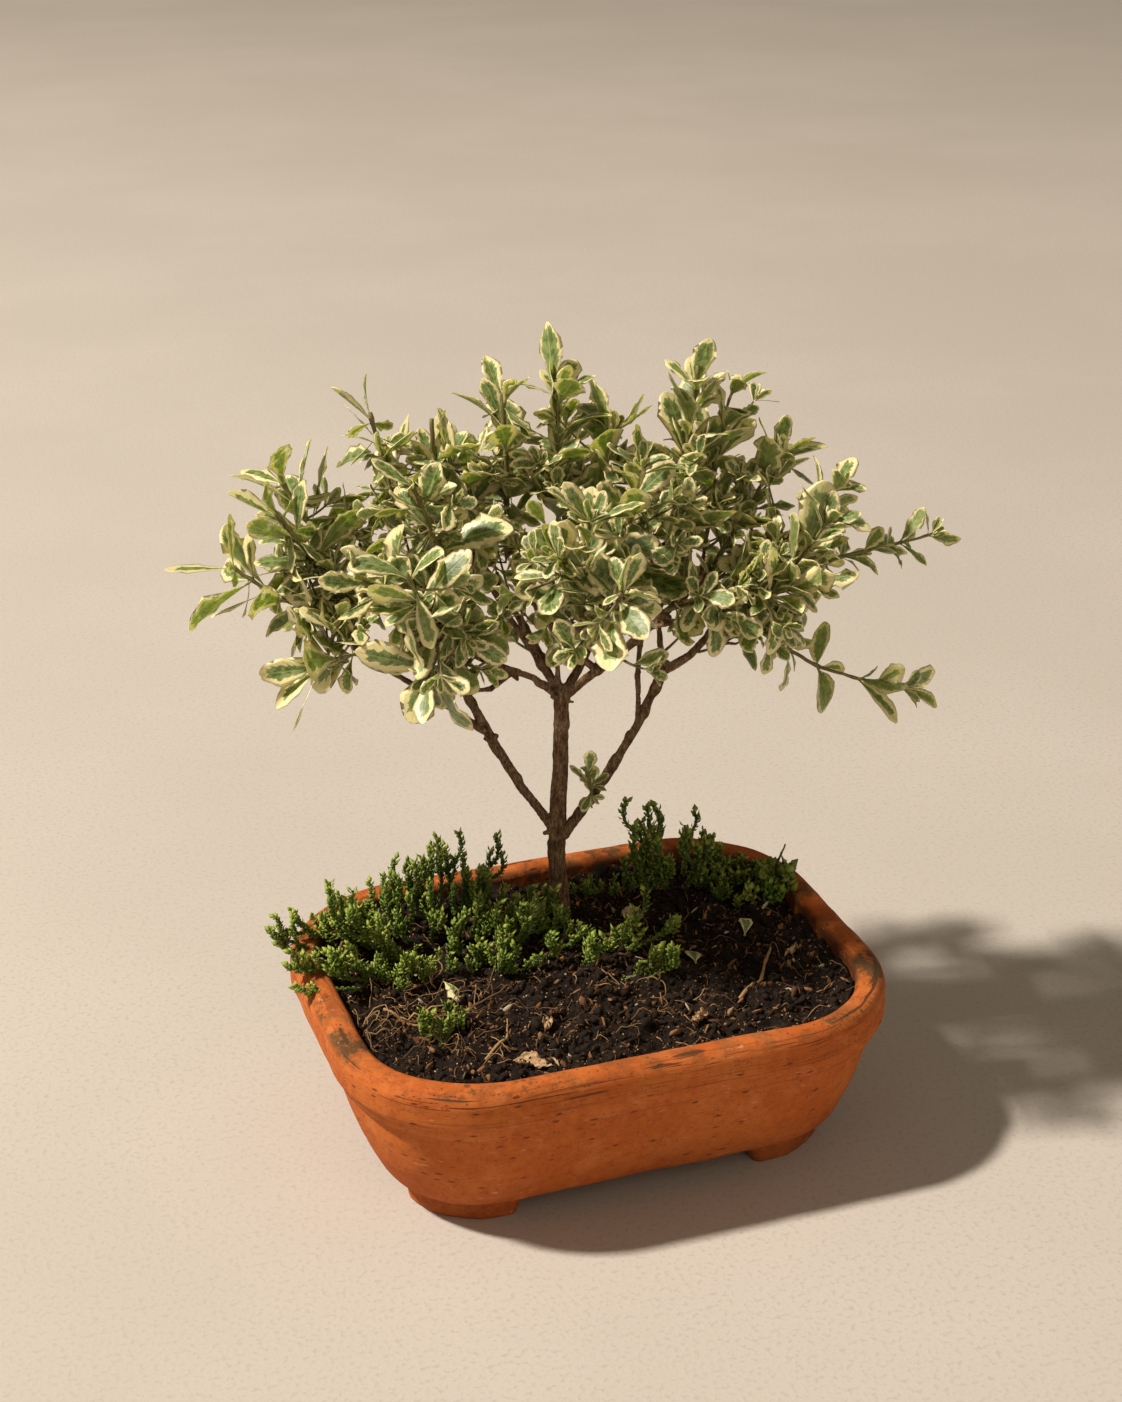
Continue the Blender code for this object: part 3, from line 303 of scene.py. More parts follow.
CORNER_CENTRE = np.array([POT_LENGTH / 2 - CORNER_RADIUS, POT_WIDTH / 2 - CORNER_RADIUS])


def stacked(*axes):
    """Points or faces from their separate coordinates or corners."""
    return np.stack(np.broadcast_arrays(*axes), axis=-1)


def grid_faces(rows, columns, start=0):
    """Quads between neighbouring rows of points, joined round."""
    row = np.arange(rows - 1)[:, None] * columns
    column = np.arange(columns)
    after = row + (column + 1) % columns
    quads = stacked(row + column, after, after + columns, row + columns + column)
    return quads.reshape(-1, 4) + start


def body_faces(count, rows, columns):
    """Quads and triangles of closed bodies. Each has a start pole, rows of rings, and an end pole."""
    last = rows * columns + 1
    ring = np.arange(columns)
    after = np.roll(ring, -1)
    ends = [stacked(after + 1, ring + 1, 0), stacked(last, last - columns + ring, last - columns + after)]
    shift = (np.arange(count) * (last + 1))[:, None, None]
    quads = grid_faces(rows, columns, start=1)
    return [(quads + shift).reshape(-1, 4), (np.concatenate(ends) + shift).reshape(-1, 3)]


def with_poles(starts, rings, ends):
    """The points of closed bodies as body_faces counts them: (bodies, 1 + rows x columns + 1, 3)."""
    rings = rings.reshape(len(rings), -1, 3)
    return np.concatenate([starts[:, None], rings, ends[:, None]], axis=1)


def capped(rings):
    """Closed bodies whose first and last rings close at their own middles."""
    return with_poles(rings[:, 0].mean(axis=1), rings, rings[:, -1].mean(axis=1))


def joined(parts):
    """One set of points and faces from parts that each have their own."""
    points, face_sets, start = [], [], 0
    for own_points, own_faces in parts:
        points.append(own_points.reshape(-1, 3))
        face_sets += [faces + start for faces in own_faces]
        start += len(points[-1])
    return np.concatenate(points), face_sets


def circle(turn):
    """Points of the unit circle in plan, at these angles."""
    return stacked(np.cos(turn), np.sin(turn))


def unit(vectors):
    """Each vector divided by its length."""
    return vectors / np.maximum(np.linalg.norm(vectors, axis=-1, keepdims=True), 1e-12)


def plan_outline(corner_steps, long_steps, short_steps):
    """The plan of the pot: points on the rectangle of its corners' centres, each with its normal."""
    places, normals = [], []
    signs = [(1, 1), (-1, 1), (-1, -1), (1, -1)]
    for quarter, sign in enumerate(signs):
        turn = np.linspace(0, math.pi / 2, corner_steps + 1) + quarter * math.pi / 2
        places.append(np.tile(CORNER_CENTRE * sign, (corner_steps + 1, 1)))
        normals.append(circle(turn))
        after = np.array(signs[(quarter + 1) % 4])
        steps = short_steps if quarter % 2 else long_steps
        share = np.linspace(0, 1, steps + 1)[1:-1, None]
        places.append(CORNER_CENTRE * sign * (1 - share) + CORNER_CENTRE * after * share)
        normals.append(np.tile(normals[-1][-1], (steps - 1, 1)))
    return np.concatenate(places), np.concatenate(normals)


def plan_ring(plan, inset):
    """Points round the pot at an inset: each point of the plan plus its normal times the corner's radius."""
    places, normals = plan
    return places + np.maximum(CORNER_RADIUS - inset, 0.0) * normals


def bend(centre, radius, first, last, count):
    """Points (inset, height) on an arc. Angle 0 points outwards and 90 degrees up."""
    turn = np.radians(np.linspace(first, last, count))
    return stacked(centre[0] - radius * np.cos(turn), centre[1] + radius * np.sin(turn))


def pot_profile():
    """(inset, height) from the underside up the bulging wall, round the rolled rim, and down inside."""
    lean = math.degrees(math.atan2(WALL_LEAN, LEDGE_HEIGHT - FOOT_HEIGHT))
    low = (LEDGE + WALL_LEAN + 0.003, FOOT_HEIGHT + LOWER_EDGE_ROUND)
    edge = bend(low, LOWER_EDGE_ROUND, -90, -lean * 1.25, 8)
    rise = np.linspace(0, 1, 22)[1:, None]
    top_of_wall = np.array([LEDGE + 0.0006, LEDGE_HEIGHT - 0.003])
    wall = edge[-1] * (1 - rise) + top_of_wall * rise
    wall[:, :1] -= WALL_BULGE * np.sin(np.pi * rise)
    cove = bend((LEDGE - 0.0019, LEDGE_HEIGHT - 0.003), -0.0025, 0, 84, 7)[1:]
    under = bend((LEDGE_ROUND, LEDGE_HEIGHT + 0.0028), LEDGE_ROUND, -82, -4, 8)
    face = np.array([[0.0, LEDGE_HEIGHT + 0.0055], [0.0001, LEDGE_HEIGHT + 0.0085]])
    crown = bend((RIM_ROUND, POT_HEIGHT - RIM_ROUND), RIM_ROUND, 6, 90, 12)
    lip = bend((2 * LIP_ROUND, POT_HEIGHT - LIP_ROUND), LIP_ROUND, 90, 176, 9)
    return np.concatenate([edge, wall, cove, under, face, crown, lip, INSIDE_WALL])


def finer(profile, longest):
    """The same profile with points added so that no step is longer than this."""
    step = np.linalg.norm(np.diff(profile, axis=0), axis=1)
    counts = np.maximum(1, np.ceil(step / longest).astype(int))
    pieces = []
    for low, high, count in zip(profile, profile[1:], counts):
        pieces.append(low + (high - low) * np.linspace(0, 1, count, endpoint=False)[:, None])
    return np.concatenate([*pieces, profile[-1:]])


def lattice_noise(points, seed=0):
    """Random values from 0 to 1 at whole-number points, blended between them by a smooth step."""
    cell = np.floor(points).astype(np.int64)
    share = points - cell
    share = share * share * (3 - 2 * share)
    total = np.zeros(points.shape[:-1])
    for corner in np.ndindex(2, 2, 2):
        x, y, z = np.moveaxis(cell + corner, -1, 0)
        mixed = (x * 73856093) ^ (y * 19349663) ^ (z * 83492791) ^ (seed * 2654435761)
        mixed = (((mixed ^ (mixed >> 13)) & 0xFFFFFFFF) * 1274126177) & 0xFFFFFFFF
        value = ((mixed ^ (mixed >> 16)) & 0xFFFF) / 0xFFFF
        total += np.prod(np.where(corner, share, 1 - share), axis=-1) * value
    return total


def rough_noise(points, octaves=4, seed=0):
    """Layers of lattice noise, each twice as fine and half as strong, centred on zero."""
    return sum((lattice_noise(points * 2.0**k, seed + k) - 0.5) / 2.0**k for k in range(octaves))


def handmade(points, normals):
    """Small unevenness of a hand-pressed pot: long waves, fine drag lines along the rim, and dents."""
    waves = rough_noise(points * (38, 38, 70), 3, 11) * 0.0011
    rim = np.clip((points[..., 2] - LEDGE_HEIGHT) / 0.004, 0, 1)
    drag = rough_noise(points * (60, 60, 1400), 2, 23) * 0.00022 * rim
    dents = -np.clip(lattice_noise(points * 150, 31) - 0.86, 0, 1) * 0.0022
    return points + normals * (waves + drag + dents)[..., None]


pot_plan = plan_outline(22, 34, 20)
profile = finer(pot_profile(), LONGEST_STEP)
x, y = np.moveaxis(plan_ring(pot_plan, profile[:, :1, None]), -1, 0)
slope = unit(np.gradient(profile, axis=0))
face_normals = stacked(*(pot_plan[1].T[:, None] * slope[:, 1:]), slope[:, :1])
shell = handmade(stacked(x, y, profile[:, 1:]), face_normals)
columns = shell.shape[1]
pot_parts = [(shell, [grid_faces(*shell.shape[:2])])]


def half_ring(side):
    """The numbers of the outline's points on one side of the pot, in order round it."""
    own = np.flatnonzero(side * shell[0, :, 0] > -1e-9)
    jump = np.flatnonzero(np.diff(own) > 1)
    start = own[jump[0] + 1] if len(jump) else own[0]
    return (start + np.arange(len(own))) % columns


def half_plate(rim, side, height, rows=8):
    """Half of the pot's floor: a sheet from half the wall's outline, closed along the pot's middle, that
    shrinks in straight lines to a drain hole."""
    share = np.linspace(0, 1, 16)[1:-1, None]
    edge = np.concatenate([rim, rim[-1] * (1 - share) + rim[0] * share])
    middle = (side * DRAIN_PLACE, 0)
    away = edge[:, :2] - middle
    hole = circle(np.arctan2(away[:, 1], away[:, 0])) * DRAIN_RADIUS + middle
    share = np.linspace(0, 1, rows)[:, None, None]
    return edge * (1 - share) + np.column_stack([hole, np.full(len(hole), height)]) * share


def add_sheet(sheet, flip):
    """Adds a ring of quads to the pot, turned over where they would point inwards."""
    faces = grid_faces(*sheet.shape[:2])
    pot_parts.append((sheet, [faces[:, ::-1] if flip else faces]))


for side in (-1, 1):
    half = half_ring(side)
    under = half_plate(shell[0, half], side, FOOT_HEIGHT)
    above = half_plate(shell[-1, half], side, FLOOR_TOP)
    add_sheet(under, True)
    add_sheet(above, False)
    add_sheet(np.stack([under[-1], above[-1]]), True)

FOOT_INSET = 0.0275
FOOT_THICKNESS = 0.015
FOOT_TOP = 0.015
FOOT_ENDS = (0.0535, 0.0365)
FOOT_SLOPE = 0.011
FOOT_SECTION = [(-1.0, 0.1), (-0.97, 0.03), (-0.86, 0), (-0.3, 0), (0.3, 0), (0.86, 0), (0.97, 0.03)]
FOOT_SECTION += [(1, 0.1), (1, 0.4), (1, 0.7), (1, 1), (0.4, 1), (-0.4, 1), (-1, 1), (-1, 0.7), (-1, 0.4)]


def foot_grid(steps=40):
    """A corner foot: its cross-section swept round the corner, between ends that lean in at the ground."""
    section = np.array(FOOT_SECTION)
    ends = np.array([0.0, 0.0014, 0.0032]) / 0.06
    share = np.concatenate([ends, np.linspace(0.09, 0.91, steps), 1 - ends[::-1]])
    pinch = np.concatenate([[0.72, 0.93, 1.0], np.ones(steps), [1.0, 0.93, 0.72]])[:, None]
    inset = FOOT_INSET + FOOT_THICKNESS * (0.5 + 0.5 * section[:, 0] * pinch)
    height = FOOT_TOP * section[:, 1]
    lean = FOOT_SLOPE * (1 - np.sqrt(np.clip(1 - (height / FOOT_HEIGHT) ** 2, 0, 1)))
    radius = CORNER_RADIUS - inset
    quarter = radius * np.pi / 2
    low = FOOT_ENDS[1] - lean - CORNER_CENTRE[1]
    high = FOOT_ENDS[0] - lean - CORNER_CENTRE[0]
    first = np.where(low > 0, np.arcsin(np.clip(low / radius, 0, 1)) * radius, low)
    last = quarter - np.where(high > 0, np.arcsin(np.clip(high / radius, 0, 1)) * radius, high)
    run = first + (last - first) * share[:, None]
    turn = np.clip(run / radius, 0, np.pi / 2)
    x = CORNER_CENTRE[0] + radius * np.cos(turn) - np.maximum(run - quarter, 0)
    y = CORNER_CENTRE[1] + radius * np.sin(turn) + np.minimum(run, 0)
    return stacked(x, y, height)


foot = foot_grid()
foot = foot + rough_noise(foot * 90, 3, 57)[..., None] * (0.001, 0.001, 0.0)
foot_faces = body_faces(1, *foot.shape[:2])
for across, along in ((1, 1), (-1, 1), (-1, -1), (1, -1)):
    own_faces = [faces[:, ::-1] if across * along < 0 else faces for faces in foot_faces]
    pot_parts.append((capped(foot[None]) * (across, along, 1), own_faces))


class Effect(Finish):
    """A shader node group that works on the place that comes in as Vector. Inlets gives its numbers and their
    starting values. Build works out its outputs from a wire for each of them."""

    def __init__(self, name, inlets, outlets, build):
        self.tree = bpy.data.node_groups.new(name, "ShaderNodeTree")
        sockets = self.tree.interface
        sockets.new_socket("Vector", in_out="INPUT", socket_type="NodeSocketVector")
        for key, start in inlets.items():
            sockets.new_socket(key, in_out="INPUT", socket_type="NodeSocketFloat").default_value = start
        for key in outlets:
            sockets.new_socket(key, in_out="OUTPUT", socket_type="NodeSocketFloat")
        source = self.tree.nodes.new("NodeGroupInput")
        sink = self.tree.nodes.new("NodeGroupOutput")
        self.where = Wire(self, source.outputs["Vector"])
        made = build(self, *(Wire(self, source.outputs[key]) for key in inlets))
        for key, value in zip(outlets, made):
            self.feed(sink.inputs[key], value)


def build_specks(group, scale, share):
    """Round spots in scattered cells: high in the middle of the chosen cells, nought elsewhere."""
    cells = dict(feature="F1", Vector=group.scaled(scale), Scale=1.0)
    chosen = group.node("ShaderNodeTexVoronoi", outlet="Color", **cells).parts()[0].math("LESS_THAN", share)
    return [group.node("ShaderNodeTexVoronoi", **cells).between(0.12, 0.42, 1.0, 0.0) * chosen]


def build_patches(group, scale, level):
    """Cloudy patches with ragged rims: a broad noise and a fine one added, then cut at a level."""
    place = group.scaled(scale)
    both = group.noise(1.0, 4.0, 0.6, place) * 0.7 + group.noise(9.0, 3.0, 0.7, place) * 0.3
    return [both.between(level - 0.06, level + 0.06)]


specks = Effect("specks", {"Scale": 300.0, "Share": 0.2}, ["Mask"], build_specks)
patches = Effect("patches", {"Scale": 20.0, "Level": 0.5}, ["Mask"], build_patches)

clay = Finish("terracotta", 0.86)
height = clay.where.parts()[2]
on_rim = height.between(LEDGE_HEIGHT - 0.001, LEDGE_HEIGHT + 0.002)
on_top = height.between(POT_HEIGHT - 0.005, POT_HEIGHT - 0.001)
low_down = height.between(0.004, 0.034, 1.0, 0.0)
inward = clay.attribute("inset")
clouds = clay.effect(patches, Scale=26.0, Level=0.5)
clay.colour = clay.mix(clouds, (0.46, 0.106, 0.017), (0.52, 0.138, 0.026))
clay.tint(clay.noise(220.0, 4.0, 0.7).between(0.45, 0.75), 0.55, (0.31, 0.062, 0.011))
clay.tint(clay.effect(patches, Scale=60.0, Level=0.56), 0.22, (0.66, 0.24, 0.082))
drag = clay.noise(1.0, 3.0, 0.6, clay.stretched(22.0, 22.0, 900.0)).between(0.56, 0.68) * on_rim
clay.tint(drag, 0.55, (0.24, 0.055, 0.016))
flat_ways = clay.stretched(0.55, 0.55, 1.7)
small_pits = clay.effect(specks, vector=flat_ways, Scale=1000.0, Share=0.14)
pits = clay.effect(specks, vector=flat_ways, Scale=330.0, Share=0.09).math("MAXIMUM", small_pits * 0.7)
clay.tint(pits, 0.8, (0.1, 0.028, 0.012))
soiled = inward.between(0.0105, 0.0132) * clay.effect(patches, Scale=120.0, Level=0.44)
clay.tint(soiled, 0.8, (0.075, 0.03, 0.014))
cracks = clay.noise(1.0, 2.0, 0.4, clay.stretched(30.0, 30.0, 1300.0)).between(0.655, 0.685)
cracks = cracks * height.between(POT_HEIGHT - 0.0085, POT_HEIGHT - 0.0065) * inward.between(0.0075, 0.006)
clay.tint(cracks, 0.85, (0.085, 0.025, 0.01))
algae = clay.effect(patches, Scale=34.0, Level=0.57) * on_top
film = clay.effect(patches, Scale=95.0, Level=0.53) * on_top
clay.tint((algae * 0.85).math("MAXIMUM", film * 0.35), 1.0, (0.045, 0.042, 0.018))
clay.tint(clay.effect(patches, Scale=30.0, Level=0.5) * low_down, 0.5, (0.22, 0.05, 0.014))
scratches = clay.noise(1.0, 2.0, 0.5, clay.stretched(140.0, 140.0, 700.0))
clay.tint(scratches.between(0.7, 0.76), 0.35, (0.78, 0.5, 0.33))
normal = clay.bump(clay.noise(1500.0, 3.0, 0.6), 0.35, 0.0003)
normal = clay.bump(1.0 - pits, 0.6, 0.0007, Normal=normal)
normal = clay.bump(1.0 - drag.math("MAXIMUM", cracks), 0.5, 0.0005, Normal=normal)
clay.feed_shader(Normal=normal, Specular_IOR_Level=0.25)

pot_points, pot_faces = joined(pot_parts)
pot_points = pot_points + POT_MIDDLE
inset = np.repeat(profile[:, 0] * (profile[:, 1] > LEDGE_HEIGHT), columns)
marks = {"inset": np.pad(inset, (0, len(pot_points) - len(inset)))}
surface("pot_body", pot_points, pot_faces, [clay], "terracotta", ["pot"], marks, weld=2e-6)

# The drain screens: two squares of dark green moulded plastic mesh that keep the soil in.
# They lie over the drain holes, where the weight of the soil holds them down.

plastic = Finish("green_plastic", 0.55)
silt = plastic.effect(patches, Scale=160.0, Level=0.55)
plastic.colour = plastic.mix(silt, (0.02, 0.035, 0.018), (0.06, 0.036, 0.02))
plastic.feed_shader()
for name in ("drain_screen_left", "drain_screen_right"):
    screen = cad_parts[name]
    screen.data.materials.clear()
    screen.data.materials.append(plastic.material)

# The soil: dark, damp compost with grit, bark crumbs and fibres, filled to just under the rim.
# It is heaped a little round the trunk, and has never been raked level.

SOIL_HEAP = 0.0028
SOIL_HEAP_SPREAD = 0.045
SOIL_INSET = 0.0137
SOIL_RINGS = 120
SOIL_FIBRES = 260
SOIL_SIDES = [(0.029, 0.0202), (0.0275, 0.023), (0.0206, 0.04), (0.0155, 0.055), (0.0142, 0.065)]


def smooth_soil(x, y):
    """The level of the soil in the pot's own frame: a low heap with gentle waves."""
    heap = SOIL_HEAP * np.exp(-(x**2 + y**2) / SOIL_HEAP_SPREAD**2)
    waves = np.sin(190 * x + 1.3) * np.cos(230 * y) + 0.6 * np.sin(90 * x - 310 * y)
    return SOIL_EDGE_HEIGHT + heap + 0.0003 * waves


def soil_level(x, y):
    """The soil's real top: the smooth level with clods, and crumbs down to a millimetre."""
    spot = stacked(x, y, 0.0)
    clods = rough_noise(spot * 110, 3, 71) * 0.0056
    return smooth_soil(x, y) + clods + rough_noise(spot * 430, 3, 77) * 0.0021


soil_plan = plan_outline(40, 90, 60)
shrink = np.linspace(1.0, 0.0, SOIL_RINGS + 1)[:-1, None, None]
x, y = np.moveaxis(plan_ring(soil_plan, SOIL_INSET + 0.0004) * shrink, -1, 0)
skirt = np.stack([stacked(*plan_ring(soil_plan, inset).T, height) for inset, height in SOIL_SIDES])
rings = np.concatenate([skirt, stacked(x, y, soil_level(x, y))])[None]
middle_top = np.array([[0, 0, soil_level(np.zeros(1), np.zeros(1))[0]]])
soil_points = with_poles(np.array([[0, 0, SOIL_SIDES[0][1]]]), rings, middle_top) + POT_MIDDLE


def build_humus(group):
    """How light each spot of compost is: clods, grit and crumbs."""
    clods = group.noise(90.0, 6.0, 0.65).between(0.35, 0.72)
    return [clods * group.noise(900.0, 3.0, 0.6).between(0.3, 0.75)]


humus = Effect("humus", {}, ["Light"], build_humus)
compost = Finish("compost", 0.95)
compost.colour = compost.mix(compost.effect(humus, "Light"), (0.007, 0.0042, 0.0028), (0.05, 0.028, 0.016))
compost.tint(compost.effect(specks, Scale=520.0, Share=0.08), 0.7, (0.2, 0.095, 0.04))
compost.tint(compost.effect(specks, Scale=800.0, Share=0.03), 1.0, (0.55, 0.42, 0.27))
compost.feed_shader(Normal=compost.bump(compost.noise(1100.0, 4.0, 0.7), 0.9, 0.0007), Specular_IOR_Level=0.2)
surface("soil_bed", soil_points, body_faces(1, *rings.shape[1:3]), [compost], "soil", ["soil"])


def spots_on_bed(count, dice, keep=0.93):
    """Random plan points spread over the soil, in the pot's own frame."""
    half = HALF_POT - SOIL_INSET
    tries = dice.uniform(-1, 1, (count * 2, 2)) * half
    corner = np.maximum(np.abs(tries) - (half - CORNER_RADIUS + SOIL_INSET), 0)
    inside = np.hypot(*corner.T) < (CORNER_RADIUS - SOIL_INSET) * keep
    inside &= (np.abs(tries) < half - 0.002).all(axis=1)
    return tries[inside][:count]


def random_turns(count, dice):
    """Random rotation matrices, from random unit quaternions."""
    w, x, y, z = unit(dice.normal(size=(count, 4))).T
    rows = [1 - 2 * (y * y + z * z), 2 * (x * y - z * w), 2 * (x * z + y * w)]
    rows += [2 * (x * y + z * w), 1 - 2 * (x * x + z * z), 2 * (y * z - x * w)]
    rows += [2 * (x * z - y * w), 2 * (y * z + x * w), 1 - 2 * (x * x + y * y)]
    return np.stack(rows, axis=-1).reshape(count, 3, 3)


def unit_ball(rise, turn):
    """A unit ball as body_faces counts it: a pole below, a ring at each rise in radians, and a pole above."""
    rise = rise[:, None]
    rings = stacked(np.cos(rise) * np.cos(turn), np.cos(rise) * np.sin(turn), np.sin(rise))
    return with_poles(np.array([[0, 0, -1.0]]), rings[None], np.array([[0, 0, 1.0]]))[0]


def crumb_ball(rows, columns):
    """A ball of few faces. One with only two rings has the upper turned half a step, so it isn't a box."""
    rise = np.pi * (np.arange(1, rows + 1) / (rows + 1) - 0.5)
    shift = 0.5 * np.arange(rows)[:, None] * (rows < 3)
    return unit_ball(rise, 2 * np.pi * (np.arange(columns) + shift) / columns)


def crumb_points(spots, sizes, ball, shape, dice):
    """Lumps made from a ball: dented, squashed as the shape says, turned at random, and half sunk."""
    count = len(spots)
    lumps = ball * dice.uniform(0.58, 1.25, (count, len(ball), 1))
    lumps = lumps * dice.uniform(0.6, 1.0, (count, 1, 3)) * shape
    lumps = np.einsum("nij,nkj->nki", random_turns(count, dice), lumps) * sizes[:, None, None]
    level = soil_level(*spots.T) + sizes * 0.15
    return lumps + np.column_stack([spots, level])[:, None]


# Each kind of crumb: how many, least and greatest radius, rings and sides, shape, and limits of its shade.
CRUMB_KINDS = {
    "soil_crumbs": (5200, 0.00035, 0.0014, (2, 5), (1, 0.8, 0.7), (0.0, 1.0)),
    "soil_clods": (1900, 0.0011, 0.004, (3, 7), (1, 0.85, 0.7), (0.0, 0.45)),
    "bark_chips": (1400, 0.001, 0.0054, (3, 6), (1, 0.38, 0.18), (0.47, 0.985)),
}
dice = np.random.default_rng(11)
crumb = Finish("bark_and_grit", 0.9)
shade = crumb.attribute("shade")
fine = crumb.noise(1400.0, 2.0)
crumb.colour = crumb.mix(shade.between(0.4, 0.62), (0.014, 0.008, 0.005), (0.125, 0.058, 0.025))
crumb.tint(shade.between(0.68, 0.84), 1.0, (0.34, 0.165, 0.068))
crumb.tint(shade.between(0.955, 0.965), 1.0, (0.6, 0.5, 0.36))
crumb.tint(fine, 0.5, (0.02, 0.011, 0.006))
crumb.feed_shader(Normal=crumb.bump(fine, 0.5, 0.0004), Specular_IOR_Level=0.25)
for name, (count, small, large, ball_size, shape, shades) in CRUMB_KINDS.items():
    spots = spots_on_bed(count, dice)
    sizes = small + (large - small) * dice.beta(1.1, 2.8, len(spots))
    lumps = crumb_points(spots, sizes, crumb_ball(*ball_size), shape, dice) + POT_MIDDLE
    marks = {"shade": np.repeat(dice.uniform(*shades, len(spots)), lumps.shape[1])}
    surface(name, lumps, body_faces(len(spots), *ball_size), [crumb], "soil", marks=marks)

THREAD_SIDES = 5


def sweep(paths, radii, sides, pointed=0.5):
    """Closed tubes along paths with equal numbers of points. Each ring of sides stands square to its path,
    and each end closes at a point that lies beyond the last ring by pointed times its radius."""
    radii = np.broadcast_to(radii, paths.shape[:2])
    heading = unit(np.gradient(paths, axis=1))
    steep = np.abs(heading.mean(axis=1)[:, 2:]) > 0.8
    spare = np.where(steep, np.array([[1.0, 0.0, 0.0]]), np.array([[0.0, 0.0, 1.0]]))
    aside = unit(np.cross(heading, spare[:, None]))
    upward = np.cross(aside, heading)
    turn = np.arange(sides) * 2 * np.pi / sides
    spokes = np.cos(turn)[:, None] * aside[:, :, None] - np.sin(turn)[:, None] * upward[:, :, None]
    rings = paths[:, :, None] + radii[:, :, None, None] * spokes
    starts = paths[:, 0] - heading[:, 0] * radii[:, :1] * pointed
    ends = paths[:, -1] + heading[:, -1] * radii[:, -1:] * pointed
    return with_poles(starts, rings, ends)


def lying_threads(name, spots, longest, thickness, slot, dice, steps=7, lift=0.0006, arch=0.0012, curl=0.15):
    """Fibres that lie on the soil: each a short wandering path, lifted clear of the crumbs in its middle."""
    count = len(spots)
    bend = dice.normal(0, curl, (count, 1)) + dice.normal(0, 0.25, (count, steps))
    turn = dice.uniform(0, 2 * np.pi, (count, 1)) + np.cumsum(bend, axis=1)
    plan = spots[:, None] + np.cumsum(circle(turn) * (longest / steps)[:, None, None], axis=1)
    reach = HALF_POT - SOIL_INSET - 0.002
    x, y = np.moveaxis(np.clip(plan, -reach, reach), -1, 0)
    bow = np.sin(np.linspace(0, np.pi, steps)) * arch * dice.uniform(0.3, 1.6, (count, 1))
    radii = thickness[:, None] * np.linspace(1.1, 0.5, steps)
    points = sweep(stacked(x, y, soil_level(x, y) + lift + bow), radii, THREAD_SIDES)
    marks = {"shade": np.repeat(dice.uniform(0, 1, count), points.shape[1])}
    faces = body_faces(count, steps, THREAD_SIDES)
    surface(name, points + POT_MIDDLE, faces, [threads], slot, marks=marks)


threads = Finish("dead_fibre", 0.85)
streak = threads.noise(700.0, 3.0)
threads.colour = threads.mix(threads.attribute("shade"), (0.13, 0.055, 0.02), (0.62, 0.37, 0.155))
threads.tint(streak, 0.6, (0.07, 0.038, 0.02))
threads.feed_shader(Normal=threads.bump(streak, 0.5, 0.0003))
spots = spots_on_bed(SOIL_FIBRES, dice)
lengths = dice.uniform(0.004, 0.016, len(spots))
lying_threads("soil_fibres", spots, lengths, dice.uniform(0.0001, 0.00028, len(spots)), "soil", dice)

# The trunk, limbs and branches: living privet wood, its thin bark grey-brown and finely cracked.
# It grows from roots spread in the soil. Twigs were cut back often, which leaves knots and short stubs.


def numbers_in(collection, key, width, kind=np.float32):
    """The numbers that a mesh keeps for its points or corners, in rows."""
    raw = np.empty(len(collection) * width, dtype=kind)
    collection.foreach_get(key, raw)
    return raw.reshape(-1, width).astype(float if kind is np.float32 else kind)


def merged_mesh(name, grid=1e-6):
    """A CAD node's points and triangles in numbers, with the points that coincide made one."""
    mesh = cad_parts[name].data
    keys = np.round(numbers_in(mesh.vertices, "co", 3) / grid).astype(np.int64)
    kept, number = np.unique(keys, axis=0, return_inverse=True)
    triangles = number.ravel()[numbers_in(mesh.loops, "vertex_index", 1, np.int32)].reshape(-1, 3)
    distinct = (triangles != np.roll(triangles, 1, axis=1)).all(axis=1)
    return kept * grid, triangles[distinct]


BARK_GRAIN = 0.00055
STUB_COUNT = 90
STUB_SIDES = 8
LOWEST_STUB = 0.1

wood_points, wood_triangles = merged_mesh("trunk_and_branches")
dice = np.random.default_rng(5)
picked = dice.choice(np.flatnonzero(wood_points[:, 2] > LOWEST_STUB), STUB_COUNT, replace=False)
sides = wood_points[wood_triangles]
facing = np.cross(sides[:, 1] - sides[:, 0], sides[:, 2] - sides[:, 0])
normal_sums = np.zeros_like(wood_points)
np.add.at(normal_sums, wood_triangles.ravel(), np.repeat(facing, 3, axis=0))
heads = unit(unit(normal_sums[picked]) + (0, 0, 0.45))
reach = dice.uniform(0.0016, 0.0042, (STUB_COUNT, 1, 1))
stub_paths = wood_points[picked][:, None] + heads[:, None] * (np.linspace(-0.25, 1, 4)[:, None] * reach)
stub_radii = dice.uniform(0.00065, 0.00115, (STUB_COUNT, 1)) * np.array([1.5, 1.15, 0.95, 0.8])
stubs = (sweep(stub_paths, stub_radii, STUB_SIDES, 0.3), body_faces(STUB_COUNT, 4, STUB_SIDES))
wood = surface("wood_rough", *joined([(wood_points, [wood_triangles]), stubs]), [], None)
grow = wood.modifiers.new("one_skin", "REMESH")
grow.mode = "VOXEL"
grow.voxel_size = BARK_GRAIN
ease = wood.modifiers.new("ease", "SMOOTH")
ease.factor = 0.5
ease.iterations = 4
bpy.context.view_layer.update()
skin = bpy.data.meshes.new_from_object(wood.evaluated_get(bpy.context.evaluated_depsgraph_get()))
bpy.data.objects.remove(wood)
bark_points = numbers_in(skin.vertices, "co", 3)
knots = np.clip(lattice_noise(bark_points * 190, 41) - 0.6, 0, 1) * 0.003
furrows = rough_noise(bark_points * (900, 900, 330), 3, 43) * 0.00045
swell = rough_noise(bark_points * 120, 2, 47) * 0.0007
near_foot = np.clip((0.135 - bark_points[:, 2]) / 0.06, 0, 1)
